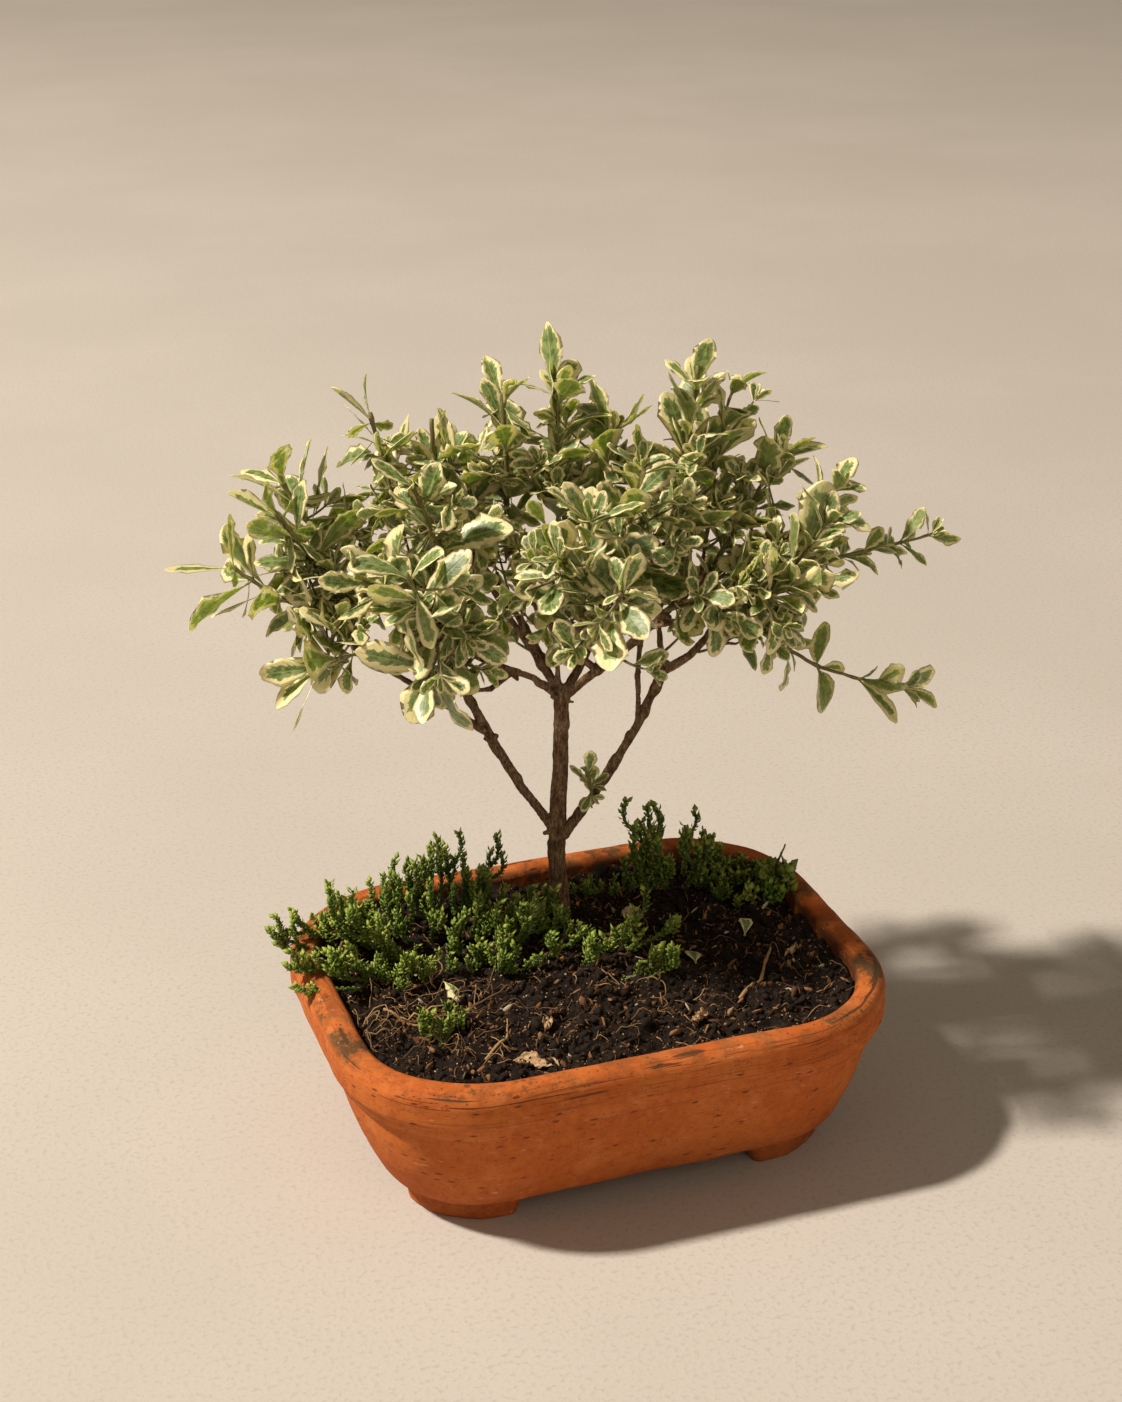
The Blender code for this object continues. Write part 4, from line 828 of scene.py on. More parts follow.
growth = 0.00012 + knots + swell + furrows * (0.6 + 0.8 * near_foot)
bark_points += numbers_in(skin.vertex_normals, "vector", 3) * growth[:, None]
skin.vertices.foreach_set("co", bark_points.astype(np.float32).ravel())
skin.update()
skin.shade_smooth()
skin.materials.clear()


def build_grain(group, scale):
    """Long streaks along the wood: noise drawn out upwards, with fine cracks between the plates."""
    place = group.scaled(scale, group.stretched(1.0, 1.0, 0.28))
    cell = group.node("ShaderNodeTexVoronoi", feature="DISTANCE_TO_EDGE", Vector=place, Scale=1.3)
    return [group.noise(1.0, 5.0, 0.65, place), cell.between(0.02, 0.1, 1.0, 0.0)]


wood_grain = Effect("wood_grain", {"Scale": 500.0}, ["Streaks", "Cracks"], build_grain)
bark = Finish("privet_bark", 0.88)
streaks = bark.effect(wood_grain, "Streaks", Scale=620.0)
cracks = bark.effect(wood_grain, "Cracks", Scale=760.0)
bark.colour = bark.mix(streaks.between(0.3, 0.7), (0.07, 0.038, 0.019), (0.34, 0.205, 0.108))
bark.tint(bark.effect(patches, Scale=170.0, Level=0.56), 0.45, (0.38, 0.28, 0.18))
bark.tint(bark.effect(patches, Scale=80.0, Level=0.58), 0.45, (0.075, 0.085, 0.032))
bark.tint(cracks, 0.6, (0.028, 0.017, 0.011))
bark.tint(bark.where.parts()[2].between(0.17, 0.3), 0.45, (0.23, 0.15, 0.07))
bark.feed_shader(Normal=bark.bump(streaks - cracks * 0.4, 0.8, 0.0006), Specular_IOR_Level=0.2)
stand(bpy.data.objects.new("trunk_wood", skin), [bark], "bark", ["trunk_and_branches"])

# The shoots: green privet stems with variegated leaves in pairs, each pair square to the last. Small leaves
# stand in the axils of the large ones, and young ones crowd each tip. A cut twig has none at its end.

BASE_RING = 0.6
LEAF_DROOP = 0.1
LEAF_SUNK = 0.00032
WIDTH_SHARE = 0.457
LEAF_LENGTHWAYS = (0, 0.08, 0.13, 0.2, 0.3, 0.42, 0.54, 0.66, 0.77, 0.87, 0.94, 0.985)
LEAF_SIDEWAYS = (-1, -0.72, -0.38, 0, 0.38, 0.72, 1, 0.6, 0, -0.6)
LEAF_UNDERSIDE = (0, 0, 0, 0, 0, 0, 0, 1, 1, 1)
PETIOLE = 0.11


def cad_leaves(points, triangles):
    """Finds a shoot's leaves in its mesh: a leaf's tip is a point with four neighbours in a ring round its
    midrib. Gives each leaf's foot on the stem, its frame (across, along, face) as rows, its length, and last
    the points of the stem."""
    pairs = np.concatenate([triangles[:, [0, 1]], triangles[:, [1, 2]], triangles[:, [2, 0]]])
    pairs = np.unique(np.concatenate([pairs, pairs[:, ::-1]]), axis=0)
    order = np.bincount(pairs[:, 0], minlength=len(points))
    starts = np.concatenate([[0], np.cumsum(order)[:-1]])
    four = np.flatnonzero(order == 4)
    around = pairs[starts[four][:, None] + np.arange(4), 1]
    tip, ring = points[four], points[around]
    spread = np.linalg.norm(ring[:, :, None] - ring[:, None], axis=-1)
    widest = spread.reshape(len(four), 16).argmax(axis=1)
    rows = np.arange(len(four))
    first, second = ring[rows, widest // 4], ring[rows, widest % 4]
    wide = (first + second) / 2
    middle = (ring.sum(axis=1) - 2 * wide) / 2
    across = unit(second - first)
    face = unit(wide - middle)
    along = np.cross(face, across)
    forwards = np.sum(along * (tip - middle), axis=1) > 0
    across, along = (np.where(forwards[:, None], value, -value) for value in (across, along))
    length = np.linalg.norm(tip - middle, axis=1) / math.hypot(1 - BASE_RING, LEAF_DROOP * (1 - BASE_RING**2))
    ratio = spread[rows, widest // 4, widest % 4] / np.maximum(length, 1e-9)
    fits = (length > 0.006) & (np.abs(ratio - WIDTH_SHARE) < 0.05)
    fits &= np.linalg.norm(wide - middle, axis=1) < 0.004
    fits &= np.abs(np.sum(face * across, axis=1)) < 0.2
    across, along, face, length, tip = (value[fits] for value in (across, along, face, length, tip))
    foot = tip - along * length[:, None] + face * LEAF_DROOP * length[:, None] - along * LEAF_SUNK
    used = np.concatenate([four[fits], around[fits].ravel()])
    stem = np.setdiff1d(np.arange(len(points)), used)
    return foot, np.stack([across, along, face], axis=1), length, points[stem]


def leaf_points(foot, frame_rows, length, dice, age, twist=0.35):
    """Privet leaves: a short petiole, then a blade widest past its middle with a blunt tip. Across a leaf the
    blade folds up along its midrib and its margin waves. Along it the blade arches down, swings to one side
    and twists. Gives the points, and for each its place on its leaf and the leaf's kind: seed, cream, age."""
    count = len(foot)

    def each(low, high):
        return dice.uniform(low, high, (count, 1, 1))

    along = np.array(LEAF_LENGTHWAYS)[None, :, None]
    across, under = np.array([LEAF_SIDEWAYS, LEAF_UNDERSIDE])[:, None, None]
    share = np.clip((along - PETIOLE) / (1 - PETIOLE), 0, 1)
    reach = length[:, None, None]
    blade = np.sin(np.pi * share ** each(1.25, 1.85)) ** each(0.55, 0.8)
    half_width = reach * (each(0.18, 0.255) * blade + 0.018 * (1 - share) + 0.004)
    wave = np.sin(along * each(9, 21) + each(0, 6.3) + 2.1 * np.sign(across)) * each(0.04, 0.24) * blade
    scallop = np.sin(along * each(14, 26) + each(0, 6.3) + np.sign(across))
    x = across * half_width * (1 + 0.1 * scallop * blade)
    fold = each(0.02, 0.55) - 0.35 * each(0, 1) * np.abs(across)
    z = np.abs(across) * half_width * fold + wave * half_width * across**2
    z = z - under * (0.00022 + 0.00018 * (share < 0.02)) * (1 - np.abs(across) ** 2)
    turn = each(-twist, twist) * along
    x, z = x * np.cos(turn) - z * np.sin(turn), x * np.sin(turn) + z * np.cos(turn)
    x = x + each(-0.1, 0.1) * along**2 * reach
    bow = each(-0.1, 0.34)
    y = reach * along * (1 - 0.35 * np.abs(bow) * along)
    z = z - bow * along**2 * reach + each(0.0, 0.12) * along * reach
    body = capped(stacked(x, y, z))
    before = body[:, -1 - 2 * len(LEAF_SIDEWAYS) : -1 - len(LEAF_SIDEWAYS)].mean(axis=1)
    body[:, -1] += (body[:, -1] - before) * 0.35
    points = foot[:, None] + np.einsum("npi,nij->npj", body, frame_rows)
    place = stacked(along, across, under)[0].reshape(-1, 3)
    place = np.concatenate([[[0, 0, 0]], place, [[1, 0, 0]]])
    kind = np.stack([dice.uniform(0, 1, count), dice.beta(1.6, 2.2, count), age], axis=1)
    return points, np.tile(place, (count, 1, 1)), np.repeat(kind[:, None], points.shape[1], axis=1)


def leaf_faces(count):
    """The faces of leaves, whose points lie as leaf_points gives them."""
    return body_faces(count, len(LEAF_LENGTHWAYS), len(LEAF_SIDEWAYS))


def frames_towards(along, facing):
    """Leaf frames from the way each leaf points and the way it faces."""
    along = unit(along)
    face = unit(facing - along * np.sum(facing * along, axis=1, keepdims=True))
    return np.stack([np.cross(along, face), along, face], axis=1)


def stem_line(feet, loose):
    """The stem's middle line: its foot end, then where each pair of leaves leaves it, then its tip."""
    heading = unit(feet[-1] - feet[0]) if len(feet) > 1 else np.array([0.0, 0.0, 1.0])
    up = (loose - feet[0]) @ heading
    low = loose[up <= np.sort(up)[min(5, len(up) - 1)]].mean(axis=0)
    high = loose[up >= np.sort(up)[max(-5, -len(up))]].mean(axis=0)
    line = [low - heading * 0.0015]
    for spot in feet[np.argsort((feet - feet[0]) @ heading)]:
        if np.linalg.norm(spot - line[-1]) > 0.0025:
            line.append(spot)
    if np.linalg.norm(high - line[-1]) > 0.0015:
        line.append(high)
    return np.array(line)


def resampled(line, count):
    """The same line with evenly spaced points."""
    run = np.concatenate([[0], np.cumsum(np.linalg.norm(np.diff(line, axis=0), axis=1))])
    want = np.linspace(0, run[-1], count)
    return np.stack([np.interp(want, run, line[:, axis]) for axis in range(line.shape[1])], axis=1)


def round_stem(way, spare, turn):
    """Directions square to a stem, at angles round it. The spare direction sets where the angle starts."""
    level = unit(np.cross(way, spare))
    return level * np.cos(turn)[:, None] + np.cross(level, way) * np.sin(turn)[:, None]


def small_leaves(foot, rows, length, stem_way, dice):
    """Leaves in the axils: shorter, closer to the stem, at about four leaves in five."""
    keep = dice.uniform(0, 1, len(foot)) < 0.8
    foot, rows, length = foot[keep], rows[keep], length[keep]
    along = rows[:, 1] * 0.75 + stem_way * dice.uniform(0.2, 0.9, (len(foot), 1))
    along = along + dice.normal(0, 0.28, (len(foot), 3))
    made = frames_towards(along, rows[:, 2] + (0, 0, 0.5) + dice.normal(0, 0.25, (len(foot), 3)))
    return foot + stem_way * 0.0008, made, length * dice.uniform(0.36, 0.84, len(foot))


def between_leaves(line, length, dice):
    """Pairs of leaves all along a stem, each pair a quarter turn from the last. Two in five have fallen."""
    spots = resampled(line, max(3, int(np.linalg.norm(line[-1] - line[0]) / 0.0085)))[1:]
    way = unit(np.gradient(spots, axis=0))
    turn = np.arange(len(spots)) * 1.571 + dice.uniform(0, 3) + dice.normal(0, 0.25, len(spots))
    out = round_stem(way, (0.13, 0.21, 1.0), turn)
    foot, way = np.tile(spots, (2, 1)), np.tile(way, (2, 1))
    keep = dice.uniform(0, 1, len(foot)) < 0.62
    rows = frames_towards(np.concatenate([out, -out]) * 0.8 + way * 0.55, way + (0, 0, 0.6))
    return foot[keep], rows[keep], (length * dice.uniform(0.55, 1.06, len(foot)))[keep]


def tip_leaves(end, way, length, dice):
    """The crowd of young leaves at a shoot's end: three pairs, the inmost nearly closed."""
    turn = np.array([0, np.pi, 1.57, 4.71, 0.4, 3.54]) + dice.uniform(0, 6.3)
    open_out, forward = np.array([[0.75, 0.75, 0.45, 0.45, 0.2, 0.2], [-0.001, -0.001, 0, 0, 0.0006, 0.0006]])
    out = round_stem(way, (0.31, 0.17, 0.9), turn)
    sizes = length * np.array([0.66, 0.6, 0.5, 0.46, 0.3, 0.28]) * dice.uniform(0.8, 1.15, 6)
    return end + way * forward[:, None], frames_towards(out * open_out[:, None] + way, way - out * 0.6), sizes


leaf = Finish("variegated_leaf", 0.42)
along, across, under = leaf.attribute("leaf_place", "Vector").parts()
seed, cream, age = leaf.attribute("leaf_kind", "Vector").parts()
off_middle = across.math("ABSOLUTE")
to_edge = (1.0 - off_middle).math("MINIMUM", (1.0 - along) * 3.6)
vein_way = along - off_middle * 0.22
far = seed * 57.0
drawn = leaf.vector(off_middle * 1.1, vein_way * 6.5, far + across.math("SIGN") * 3.0)
ragged = leaf.noise(1.6, 4.0, 0.6, drawn)
level = to_edge + (ragged - 0.5) * 0.85
width = cream.math("POWER", 1.3) * 0.56 + 0.21
margin = level.between(width, width + 0.07, 1.0, 0.0)
mottle = leaf.noise(2.3, 4.0, 0.6, leaf.vector(across, along * 4.0, far))
green = leaf.mix(mottle.between(0.4, 0.62), (0.056, 0.1, 0.02), (0.225, 0.28, 0.112))
edge_green = level.between(width + 0.05, width + 0.42, 1.0, 0.0)
green = leaf.mix(edge_green * 0.45, green, (0.28, 0.355, 0.145))
yellow = leaf.mix(leaf.noise(0.9, 2.0, vector=drawn), (0.94, 0.82, 0.45), (0.92, 0.81, 0.36))
leaf.colour = leaf.mix(margin, green, yellow)
ribs = (vein_way * 52.0).math("SINE").between(0.8, 0.99) * 0.45
lines = off_middle.between(0.03, 0.09, 1.0, 0.0).math("MAXIMUM", ribs)
leaf.tint(lines, 0.45, (0.38, 0.46, 0.14))
leaf.tint(age, 0.75, leaf.mix(margin, (0.27, 0.35, 0.08), (0.88, 0.8, 0.36)))
tone = (seed * 17.0).math("FRACT") * 0.34 + 0.78
leaf.colour = leaf.mix(1.0, leaf.colour, leaf.vector(tone, tone, tone), "MULTIPLY")
leaf.tint(under, 0.25, (0.4, 0.44, 0.15))
leaf.tint(to_edge.between(0.0, 0.1, 1.0, 0.0) * ragged.between(0.6, 0.66), 0.6, (0.22, 0.1, 0.03))
glow = dict(Subsurface_Weight=0.34, Subsurface_Radius=(0.8, 1.0, 0.25), Subsurface_Scale=0.0016)
leaf.feed_shader(Normal=leaf.bump(mottle * 0.4 - lines, 0.35, 0.0003), Specular_IOR_Level=0.45, **glow)

twig = Finish("green_twig", 0.6)
streaks = twig.effect(wood_grain, "Streaks", Scale=700.0)
twig.colour = twig.mix(streaks.between(0.3, 0.7), (0.13, 0.115, 0.035), (0.27, 0.26, 0.085))
twig.tint(twig.effect(patches, Scale=130.0, Level=0.5), 0.6, (0.14, 0.085, 0.04))
twig.feed_shader(Normal=twig.bump(streaks, 0.5, 0.0003))

STEM_POINTS = 26
STEM_SIDES = 8
SPRIG_POINTS = 8
SPRIGS_PER_SHOOT = 4
SPRIG_ROOM = 0.017
CUT_TWIGS = ("shoot_left_cut_twig", "shoot_middle_cut_twig", "shoot_right_cut_twig")
BARE_SHOOTS = (*CUT_TWIGS, "shoot_limb_sprout", "shoot_right_long", "shoot_right_lower", "shoot_left_tip")
SHOOT_GROWTH = dict(shoot_limb_sprout=0.66, shoot_left_tip=1.22, shoot_left_lower=1.12, shoot_left_upper=1.1)


def sprigs(starts, headings, lengths, size, dice):
    """Short side shoots: each a thin stem that curves upwards, with leaves in pairs and a crowd at its end.
    Those that would end near the sides of the CAD's box are left out. Gives stems and groups of leaves."""
    share = np.linspace(0, 1, SPRIG_POINTS)[:, None]
    lift = np.array([0, 0, 0.22]) * share**2
    paths = starts[:, None] + (headings[:, None] * share + lift) * lengths[:, None, None]
    low, high = (np.array(corner) for corner in cad_box)
    ends = paths[:, -1]
    paths = paths[((ends > low + SPRIG_ROOM) & (ends < high - SPRIG_ROOM)).all(axis=1)]
    groups = []
    for path in paths:
        groups.append(between_leaves(path, size, dice))
        groups.append(tip_leaves(path[-1], unit(path[-1] - path[-2]), size, dice))
    return paths, groups


def youth(spots, path):
    """How young leaves are at these spots: nought low on the stem, and more from 0.7 of the way up it."""
    heading = path[-1] - path[0]
    rise = (spots - path[0]) @ unit(heading) / np.linalg.norm(heading)
    return np.clip((rise - 0.7) * 0.9, 0, 1)


def leafy_piece(name, nodes, groups, stems, dice, path=None):
    """One piece from groups of leaves (feet, frames, lengths) and sets of stems (paths, radii)."""
    feet, rows, sizes = (np.concatenate(parts) for parts in zip(*groups))
    age = 0.15 if path is None else youth(feet, path)
    age = np.clip(0.5 - sizes / 0.02, 0, 1) * 0.7 + age * dice.uniform(0, 1, len(feet))
    body, places, kinds = leaf_points(feet, rows, sizes, dice, np.clip(age, 0, 1))
    parts = [(body, leaf_faces(len(body)))]
    for paths, radii in stems:
        parts.append((sweep(paths, radii, STEM_SIDES, 0.3), body_faces(*paths.shape[:2], STEM_SIDES)))
    points, faces = joined(parts)
    still = np.zeros((len(points) - body.size // 3, 3))
    marks = {
        "leaf_place": np.concatenate([places.reshape(-1, 3), still]),
        "leaf_kind": np.concatenate([kinds.reshape(-1, 3), still]),
    }
    numbers = (np.arange(sum(map(len, faces))) >= sum(map(len, parts[0][1]))).astype(int)
    surface(name, points, faces, [leaf, twig], "leaves", nodes, marks, numbers)


for number, name in enumerate(sorted(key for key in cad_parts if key.startswith("shoot_"))):
    dice = np.random.default_rng(1000 + number)
    cut = name in CUT_TWIGS
    foot, rows, length, loose = cad_leaves(*merged_mesh(name))
    line = stem_line(foot, loose)
    path = resampled(line, STEM_POINTS)
    path[1:-1] = (path[:-2] + path[2:] + path[1:-1]) / 3
    path[2:-1] += dice.normal(0, 0.00012, path[2:-1].shape)
    way = unit(np.gradient(path, axis=0))
    nearest = np.linalg.norm(foot[:, None] - path[None], axis=-1).argmin(axis=1)
    length = length * SHOOT_GROWTH.get(name, 1.0)
    typical = np.median(length)
    if name == "shoot_top":
        tall = length.argmax()
        length[tall] *= 1.15
        rows[tall] = frames_towards(rows[tall, 1][None], np.array([[-0.25, -0.95, 0.25]]))[0]
    swung = rows + dice.normal(0, 0.3, rows.shape)
    swung = frames_towards(swung[:, 1], swung[:, 2])
    groups = [(foot, swung, length * dice.uniform(0.96, 1.34, len(length)))]
    groups.append(small_leaves(foot, rows, length, way[nearest].mean(axis=0), dice))
    groups.append(between_leaves(line[:-1] if cut else line, typical, dice))
    if not cut:
        groups.append(tip_leaves(path[-1], way[-1], typical, dice))
    radii = np.linspace(0.00115, 0.001, STEM_POINTS) if cut else np.linspace(0.00095, 0.00052, STEM_POINTS)
    joints = np.exp(-((np.arange(STEM_POINTS)[:, None] - nearest) ** 2) / 0.6).max(axis=1)
    stems = [(path[None], radii * (1 + 0.35 * joints))]
    if name not in BARE_SHOOTS:
        picks = dice.integers(4, STEM_POINTS - 6, SPRIGS_PER_SHOOT)
        away = unit(np.cross(way[picks], dice.normal(size=(SPRIGS_PER_SHOOT, 3))))
        heads = unit(away + way[picks] * 0.45 + (0, 0, 0.1))
        lengths = dice.uniform(0.012, 0.024, SPRIGS_PER_SHOOT)
        side, more = sprigs(path[picks], heads, lengths, typical * 0.85, dice)
        if len(side):
            stems.append((side, np.linspace(0.0006, 0.0004, SPRIG_POINTS)))
            groups += more
    leafy_piece("leafy_" + name, [name], groups, stems, dice, path)

# Leafy sprigs also stand all along the limbs inside the crown, where they fill it.
LIMB_SPRIGS = 70
LIMB_LEAF = 0.0205
SPRIG_SPACING = 0.011
TRUNK_PLACE = (0.0065, 0.0485)

dice = np.random.default_rng(2024)
limb_spots = bark_points[(bark_points[:, 2] > 0.196) & (bark_points[:, 2] < 0.262)]
limb_spots = limb_spots[dice.permutation(len(limb_spots))]
chosen = limb_spots[:1]
for spot in limb_spots[::37]:
    if len(chosen) < LIMB_SPRIGS and np.linalg.norm(chosen - spot, axis=1).min() > SPRIG_SPACING:
        chosen = np.concatenate([chosen, spot[None]])
outwards = unit((chosen - [*(POT_MIDDLE[:2] + TRUNK_PLACE), 0.0]) * (1, 1, 0))
heads = unit(outwards * 0.5 + dice.normal(0, 0.55, chosen.shape) + (0, 0, 0.55))
side, groups = sprigs(chosen, heads, dice.uniform(0.012, 0.026, len(chosen)), LIMB_LEAF, dice)
leafy_piece("limb_sprigs", [], groups, [(side, np.linspace(0.0007, 0.00042, SPRIG_POINTS))], dice)

# The ground cover: a creeping spike-moss, its branched shoots clothed in scale leaves like small
# bottlebrushes. It roots wherever it touches soil. It stands thickest at the left rim, and hangs over it.

# A clump's middle, reach, height, lean, leaf and gap are in millimetres. It grows from an oval of soil, which
# the first two give. Gap lies between its leaves, and tip is how fresh it ends. Broad is a leaf's half width,
# as a share of its length.
Clump = namedtuple("Clump", "middle reach height lean count leaf gap tip broad flat")
CLUMPS = {
    "left_back": Clump((-46, 56), (46, 24), 44, (1, 3), 23, 4.1, 0.56, 0.0, 0.29, False),
    "left_rim": Clump((-86, 32), (26, 36), 30, (-21, 0), 27, 4.1, 0.56, 0.3, 0.29, True),
    "left_front": Clump((-30, 24), (36, 22), 25, (4, -9), 20, 4.0, 0.58, 0.0, 0.29, True),
    "front_sprig": Clump((8, -8), (24, 24), 27, (18, -5), 9, 4.3, 0.62, 0.3, 0.29, True),
    "front_left_frond": Clump((-76, -38), (16, 16), 13, (9, 8), 6, 3.4, 0.52, 0.1, 0.29, True),
    "back_right": Clump((62, 58), (36, 18), 39, (2, 3), 11, 4.6, 0.85, 0.3, 0.34, False),
    "right": Clump((92, 28), (12, 30), 12, (3, 1), 10, 5.2, 1.5, 0.0, 0.42, False),
}
AXIS_POINTS = 12
CORE_SIDES = 5
BRANCHES = 3
SCALE_ROOM = 100
GOLDEN_TURN = 2.399


def clump_axes(clump, dice):
    """The stems of a clump: they rise from an oval of soil, lean out, and curl up towards their tips.
    Each forks above its lowest third into three side stems, like a small cactus."""
    count = clump.count
    turn = dice.uniform(0, 2 * np.pi, count)
    out = np.sqrt(dice.uniform(0, 1, count))
    reach = np.array(clump.reach) / 1000
    way = circle(turn)
    half = HALF_POT - SOIL_INSET - 0.001
    foot = np.clip(np.array(clump.middle) / 1000 + way * (out * 0.7)[:, None] * reach, -half, half)
    tall = clump.height / 1000 * (1 - 0.5 * out**2) * dice.uniform(0.5, 1.0, count)
    share = np.linspace(0, 1, AXIS_POINTS)
    push = way * (out * 0.55 * tall)[:, None]
    push += np.array(clump.lean) / 1000 * dice.uniform(0.2, 1.2, (count, 1))
    push += dice.normal(0, 0.16, (count, 2)) * tall[:, None]
    plan = foot[:, None] + push[:, None] * (np.sin(share * np.pi * 0.5) ** 1.1)[:, None]
    plan = plan + np.cumsum(dice.normal(0, 0.0003, (count, AXIS_POINTS, 2)), axis=1)
    rise = tall[:, None] * share ** (1.35 if clump.lean[0] > -10 else 0.75)
    level = soil_level(*foot.T)[:, None] - 0.0012 + rise
    main = np.concatenate([plan, level[..., None]], axis=-1)
    picks = dice.integers(4, AXIS_POINTS - 2, (BRANCHES, count))
    rows = np.arange(count)
    starts = np.concatenate([main[rows, pick] for pick in picks])
    heading = unit(np.concatenate([main[rows, pick + 1] - main[rows, pick] for pick in picks]))
    aside = unit(np.cross(heading, dice.normal(size=heading.shape)))
    length = np.clip(np.tile(tall, BRANCHES) * dice.uniform(0.34, 0.68, BRANCHES * count), 0.006, 0.021)
    bend = np.sin(share * 2.2)[:, None] * 0.5 * aside[:, None] + share[:, None] * (heading * 0.55)[:, None]
    bend += share[:, None] ** 2 * np.array([0, 0, 0.45])
    return np.concatenate([main, starts[:, None] + bend * length[:, None, None]])


def scale_leaves(axes, clump, dice):
    """Scale leaves set in a close spiral up each stem, spreading at its foot and crowded at its blunt tip.
    Flat stems carry them in two rows, one each side, like the teeth of a comb.
    Each is a closed blade of eight faces: a foot, a tip, two edges, a keel and a back. Gives the points, and
    how fresh each leaf is."""
    run = np.linalg.norm(np.diff(axes, axis=1), axis=-1).sum(axis=1)
    travel = (np.arange(SCALE_ROOM) + 0.5) * (clump.gap / 1000)
    axis_row, scale_row = np.nonzero(travel[None] < run[:, None])
    share = travel[scale_row] / run[axis_row]
    place = share * (AXIS_POINTS - 1)
    low = np.minimum(place.astype(int), AXIS_POINTS - 2)
    part = (place - low)[:, None]
    foot = axes[axis_row, low] * (1 - part) + axes[axis_row, low + 1] * part
    way = unit(np.gradient(axes, axis=1))[axis_row, low]
    count = len(foot)
    turn = scale_row * GOLDEN_TURN + axis_row * 1.7 + dice.normal(0, 0.2, count)
    if clump.flat:
        turn = scale_row * np.pi + np.where(scale_row % 4 < 2, 0.35, -0.35) + dice.normal(0, 0.18, count)
    spread = (1.0 - 0.12 * share**3) * dice.uniform(0.8, 1.2, count)
    out = round_stem(way, (0.21, 0.13, 0.97), turn) * spread[:, None]
    along = unit(out + way * (0.75 if clump.flat else 1.05))
    across = unit(np.cross(along, way))
    face = np.cross(across, along)
    length = (clump.leaf / 1000 * (0.6 + 0.4 * share**1.5) * dice.uniform(0.8, 1.15, count))[:, None]
    wide = length * clump.broad
    body = foot + along * length * 0.55
    ring = [body + across * wide, body - face * wide * 0.4, body - across * wide, body + face * wide * 0.1]
    points = with_poles(foot, np.stack(ring, axis=1), foot + along * length + face * length * 0.14)
    to_tip = (run[axis_row] - travel[scale_row]) / 0.0075
    return points, np.clip(1 - to_tip, 0, 1) ** 1.2 * 0.75 + dice.uniform(0, 0.06, count) + clump.tip


moss = Finish("spike_moss", 0.5)
tone = moss.noise(75.0, 3.0).between(0.35, 0.65)
deep = moss.mix(tone, (0.036, 0.078, 0.008), (0.11, 0.175, 0.02))
bright = moss.mix(tone, (0.22, 0.33, 0.034), (0.4, 0.47, 0.085))
moss.colour = moss.mix(moss.attribute("fresh"), deep, bright)
moss.tint(moss.effect(patches, Scale=120.0, Level=0.6), 0.55, (0.2, 0.125, 0.045))
moss.feed_shader(Subsurface_Weight=0.12, Subsurface_Scale=0.0006, Specular_IOR_Level=0.4)


def moss_piece(name, clump, dice, nodes):
    """A clump in one piece: the cores of its stems, and the scale leaves on them."""
    axes = clump_axes(clump, dice) + POT_MIDDLE
    cores = sweep(axes, np.linspace(0.0008, 0.00065, AXIS_POINTS), CORE_SIDES)
    scales, fresh = scale_leaves(axes, clump, dice)
    core_part = (cores, body_faces(len(axes), AXIS_POINTS, CORE_SIDES))
    points, faces = joined([core_part, (scales, body_faces(len(scales), 1, 4))])
    marks = {"fresh": np.concatenate([np.zeros(cores.size // 3), np.repeat(fresh, scales.shape[1])])}
    surface(name, points, faces, [moss], "ground_cover", nodes, marks)


for number, (name, clump) in enumerate(CLUMPS.items()):
    moss_piece("moss_" + name, clump, np.random.default_rng(300 + number), ["ground_cover_" + name])

# Thin runners of the same plants creep on between the clumps.
RUNNERS = {
    "behind": Clump((30, 62), (46, 14), 10, (2, 1), 16, 2.9, 0.52, 0.0, 0.27, False),
    "right_back": Clump((88, 46), (20, 26), 12, (2, -2), 15, 3.4, 0.52, 0.0, 0.27, True),
    "by_trunk": Clump((-8, 34), (16, 20), 15, (3, -4), 12, 2.9, 0.52, 0.0, 0.27, False),
    "round_sprout": Clump((101, 31), (5, 9), 19, (6, 0), 5, 8.5, 3.4, 0.1, 0.42, False),
    "left_low": Clump((-70, 16), (30, 16), 15, (-3, -6), 14, 2.9, 0.52, 0.15, 0.27, True),
}
for number, (name, clump) in enumerate(RUNNERS.items()):
    moss_piece("runners_" + name, clump, np.random.default_rng(340 + number), [])

# The litter: dead roots, a broken twig and a dry stalk, with leaves that fell from the tree, and a pebble.
# They lie loose on the soil. Most are tangled in the bare patch at the front left.

DEAD_STEMS = {
    "dead_root_left": ([(-92, -10), (-80, -22), (-64, -18)], 0.0006),
    "dead_root_front": ([(-62, -56), (-50, -48), (-44, -30)], 0.0006),
    "dead_twig_right": ([(52, -48), (66, -38), (80, -18)], 0.0008),
}
DEAD_SIDES = 8
STALK = [(103, 34, 0), (104.5, 35, 7), (106, 36, 14), (109, 37, 18), (112, 38, 22)]


def smoothed(points, count):
    """A curve through a few points in millimetres, with count evenly spaced points."""
    line = resampled(np.array(points) / 1000, count)
    for _ in range(count // 3):
        line[1:-1] = (line[:-2] + 2 * line[1:-1] + line[2:]) / 4
    return line


